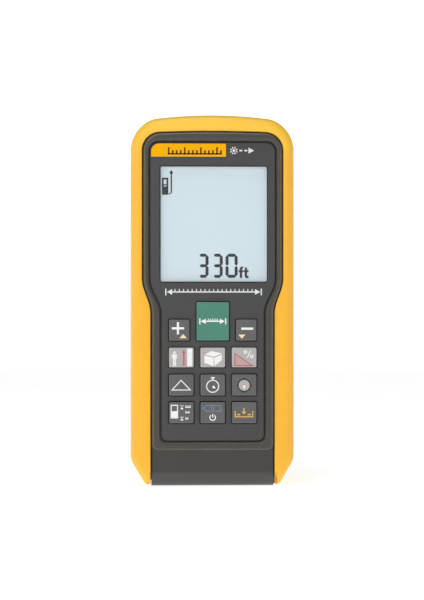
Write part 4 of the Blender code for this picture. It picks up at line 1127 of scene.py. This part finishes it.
t = np.linspace(0, 1, 260)[:, None]
around = full_turn(12)
for name in ("battery_spring_left", "battery_spring_right"):
    low, high = reach(name)
    ends = (low[2] + 0.3, high[2] - 0.3)
    start, stop = ends if name.endswith("left") else ends[::-1]
    out = 4.1 - 2 * t + SPRING_WIRE * np.cos(around)
    along = start + (stop - start) * t + SPRING_WIRE * np.sin(around)
    wire = swept(*(low + high)[:2] / 2, out, 2 * np.pi * SPRING_TURNS * t, along)
    dress(skin(name + "_wire", wire), nickel, "root", "steel", name)

DOOR_GREY = (74, 72, 69)
door_plastic = moulded("door_plastic", DOOR_GREY, 0.44, 0.2, 0.012)
battery_door = refined("battery_door", 0.18)
dress(battery_door, door_plastic, "battery_door", "charcoal_plastic", "battery_door")


# ==== Fold-out bracket ====
# A flat tongue of the same plastic on a steel pin at the rear end. It folds out to
# measure from edges and corners, and lies flush in the back when it is shut.

tongue = refined("positioning_bracket", 0.22)
dress(tongue, door_plastic, "positioning_bracket", "charcoal_plastic", "positioning_bracket")


# ==== Rating label ====
# Blank matt foil label, glued in its recess on the back, with a printed frame and two
# ruled lines.

foil = moulded("label_foil", (196, 197, 196), 0.36, 0.5, 0.003)
refinish(foil, "rating_label")
label_low, label_high = reach("rating_label")
label_x, _, label_z = (label_low + label_high) / 2
label_width, _, label_height = label_high - label_low
rules = band(round_box(label_x, label_z, label_width - 2.4, label_height - 2.4, 0.8), 0.25, True)
rules += slabs(*[(label_x, label_z + row, label_width - 2.7, 0.2) for row in (3.4, -4.2)])
printed("label_frame", rules, label_high[1] + LIFT, dark_ink, "root", "label_grey", -0.05)


# ==== Electronics ====
# Main board and detector board in green laminate with a pattern of copper tracks
# under the varnish, and the processor and the sounder in black epoxy.

laminate = Finish("board_laminate", 0.4)
weave = laminate.spread(laminate.noise(0.35), 0, 1)
tracks = laminate.node("TexBrick", {"Vector": laminate.place(), "Scale": 260,
                                    "Color1": linear((26, 86, 54)),
                                    "Color2": linear((30, 96, 60)),
                                    "Mortar": linear((44, 122, 76))})
laminate.paint(weave, tracks.outputs["Color"], (28, 88, 56))
laminate.bump(weave, 0.004)
refinish(laminate, "main_board", "detector_board")
chip_epoxy = moulded("chip_epoxy", (30, 30, 32), 0.5, 0.15, 0.006)
refinish(chip_epoxy, "processor_chip", "buzzer")


# ==== Stage ====
# Round floor of matt pale paper that sweeps up into a low wall. A small soft light in
# front and a broad one overhead light the meter.

FLOOR_RADIUS = 1200
SWEEP = 300
rise = np.linspace(0, np.pi / 2, 16)
run_out = np.concatenate([[0.01, 300, 700], FLOOR_RADIUS + SWEEP * np.sin(rise), [1500]])
lift = np.concatenate([[0, 0, 0], SWEEP * (1 - np.cos(rise)), [560]]) - 0.01
floor = turned("floor", np.stack([run_out, lift], axis=1), columns=128, ends=False)
paper = Finish("stage_paper", 0.9)
paper.paint(paper.spread(paper.noise(60), 0, 1), (212, 212, 213), (217, 217, 217))
paper.fix({"Emission Color": (1, 1, 1, 1), "Emission Strength": 0.7})
floor.data.materials.append(paper.material)

world = bpy.data.worlds.new("studio")
world.use_nodes = True
sky = world.node_tree.nodes["Background"]
sky.inputs["Color"].default_value = (1, 1, 1, 1)
sky.inputs["Strength"].default_value = 0.02
bpy.context.scene.world = world


def soft_box(name, place, size, power):
    """Square area light at a place in metres, aimed at the middle of the meter."""
    lamp = bpy.data.lights.new(name, "AREA")
    lamp.size = size
    lamp.energy = power
    holder = add(name, lamp)
    holder.location = place
    holder.rotation_euler = (middle - Vector(place)).to_track_quat("-Z", "Y").to_euler()


soft_box("key_light", (-0.36, -0.82, 0.62), 0.2, 2.5)
soft_box("top_light", (-0.1, -0.14, 0.95), 0.5, 3.3)
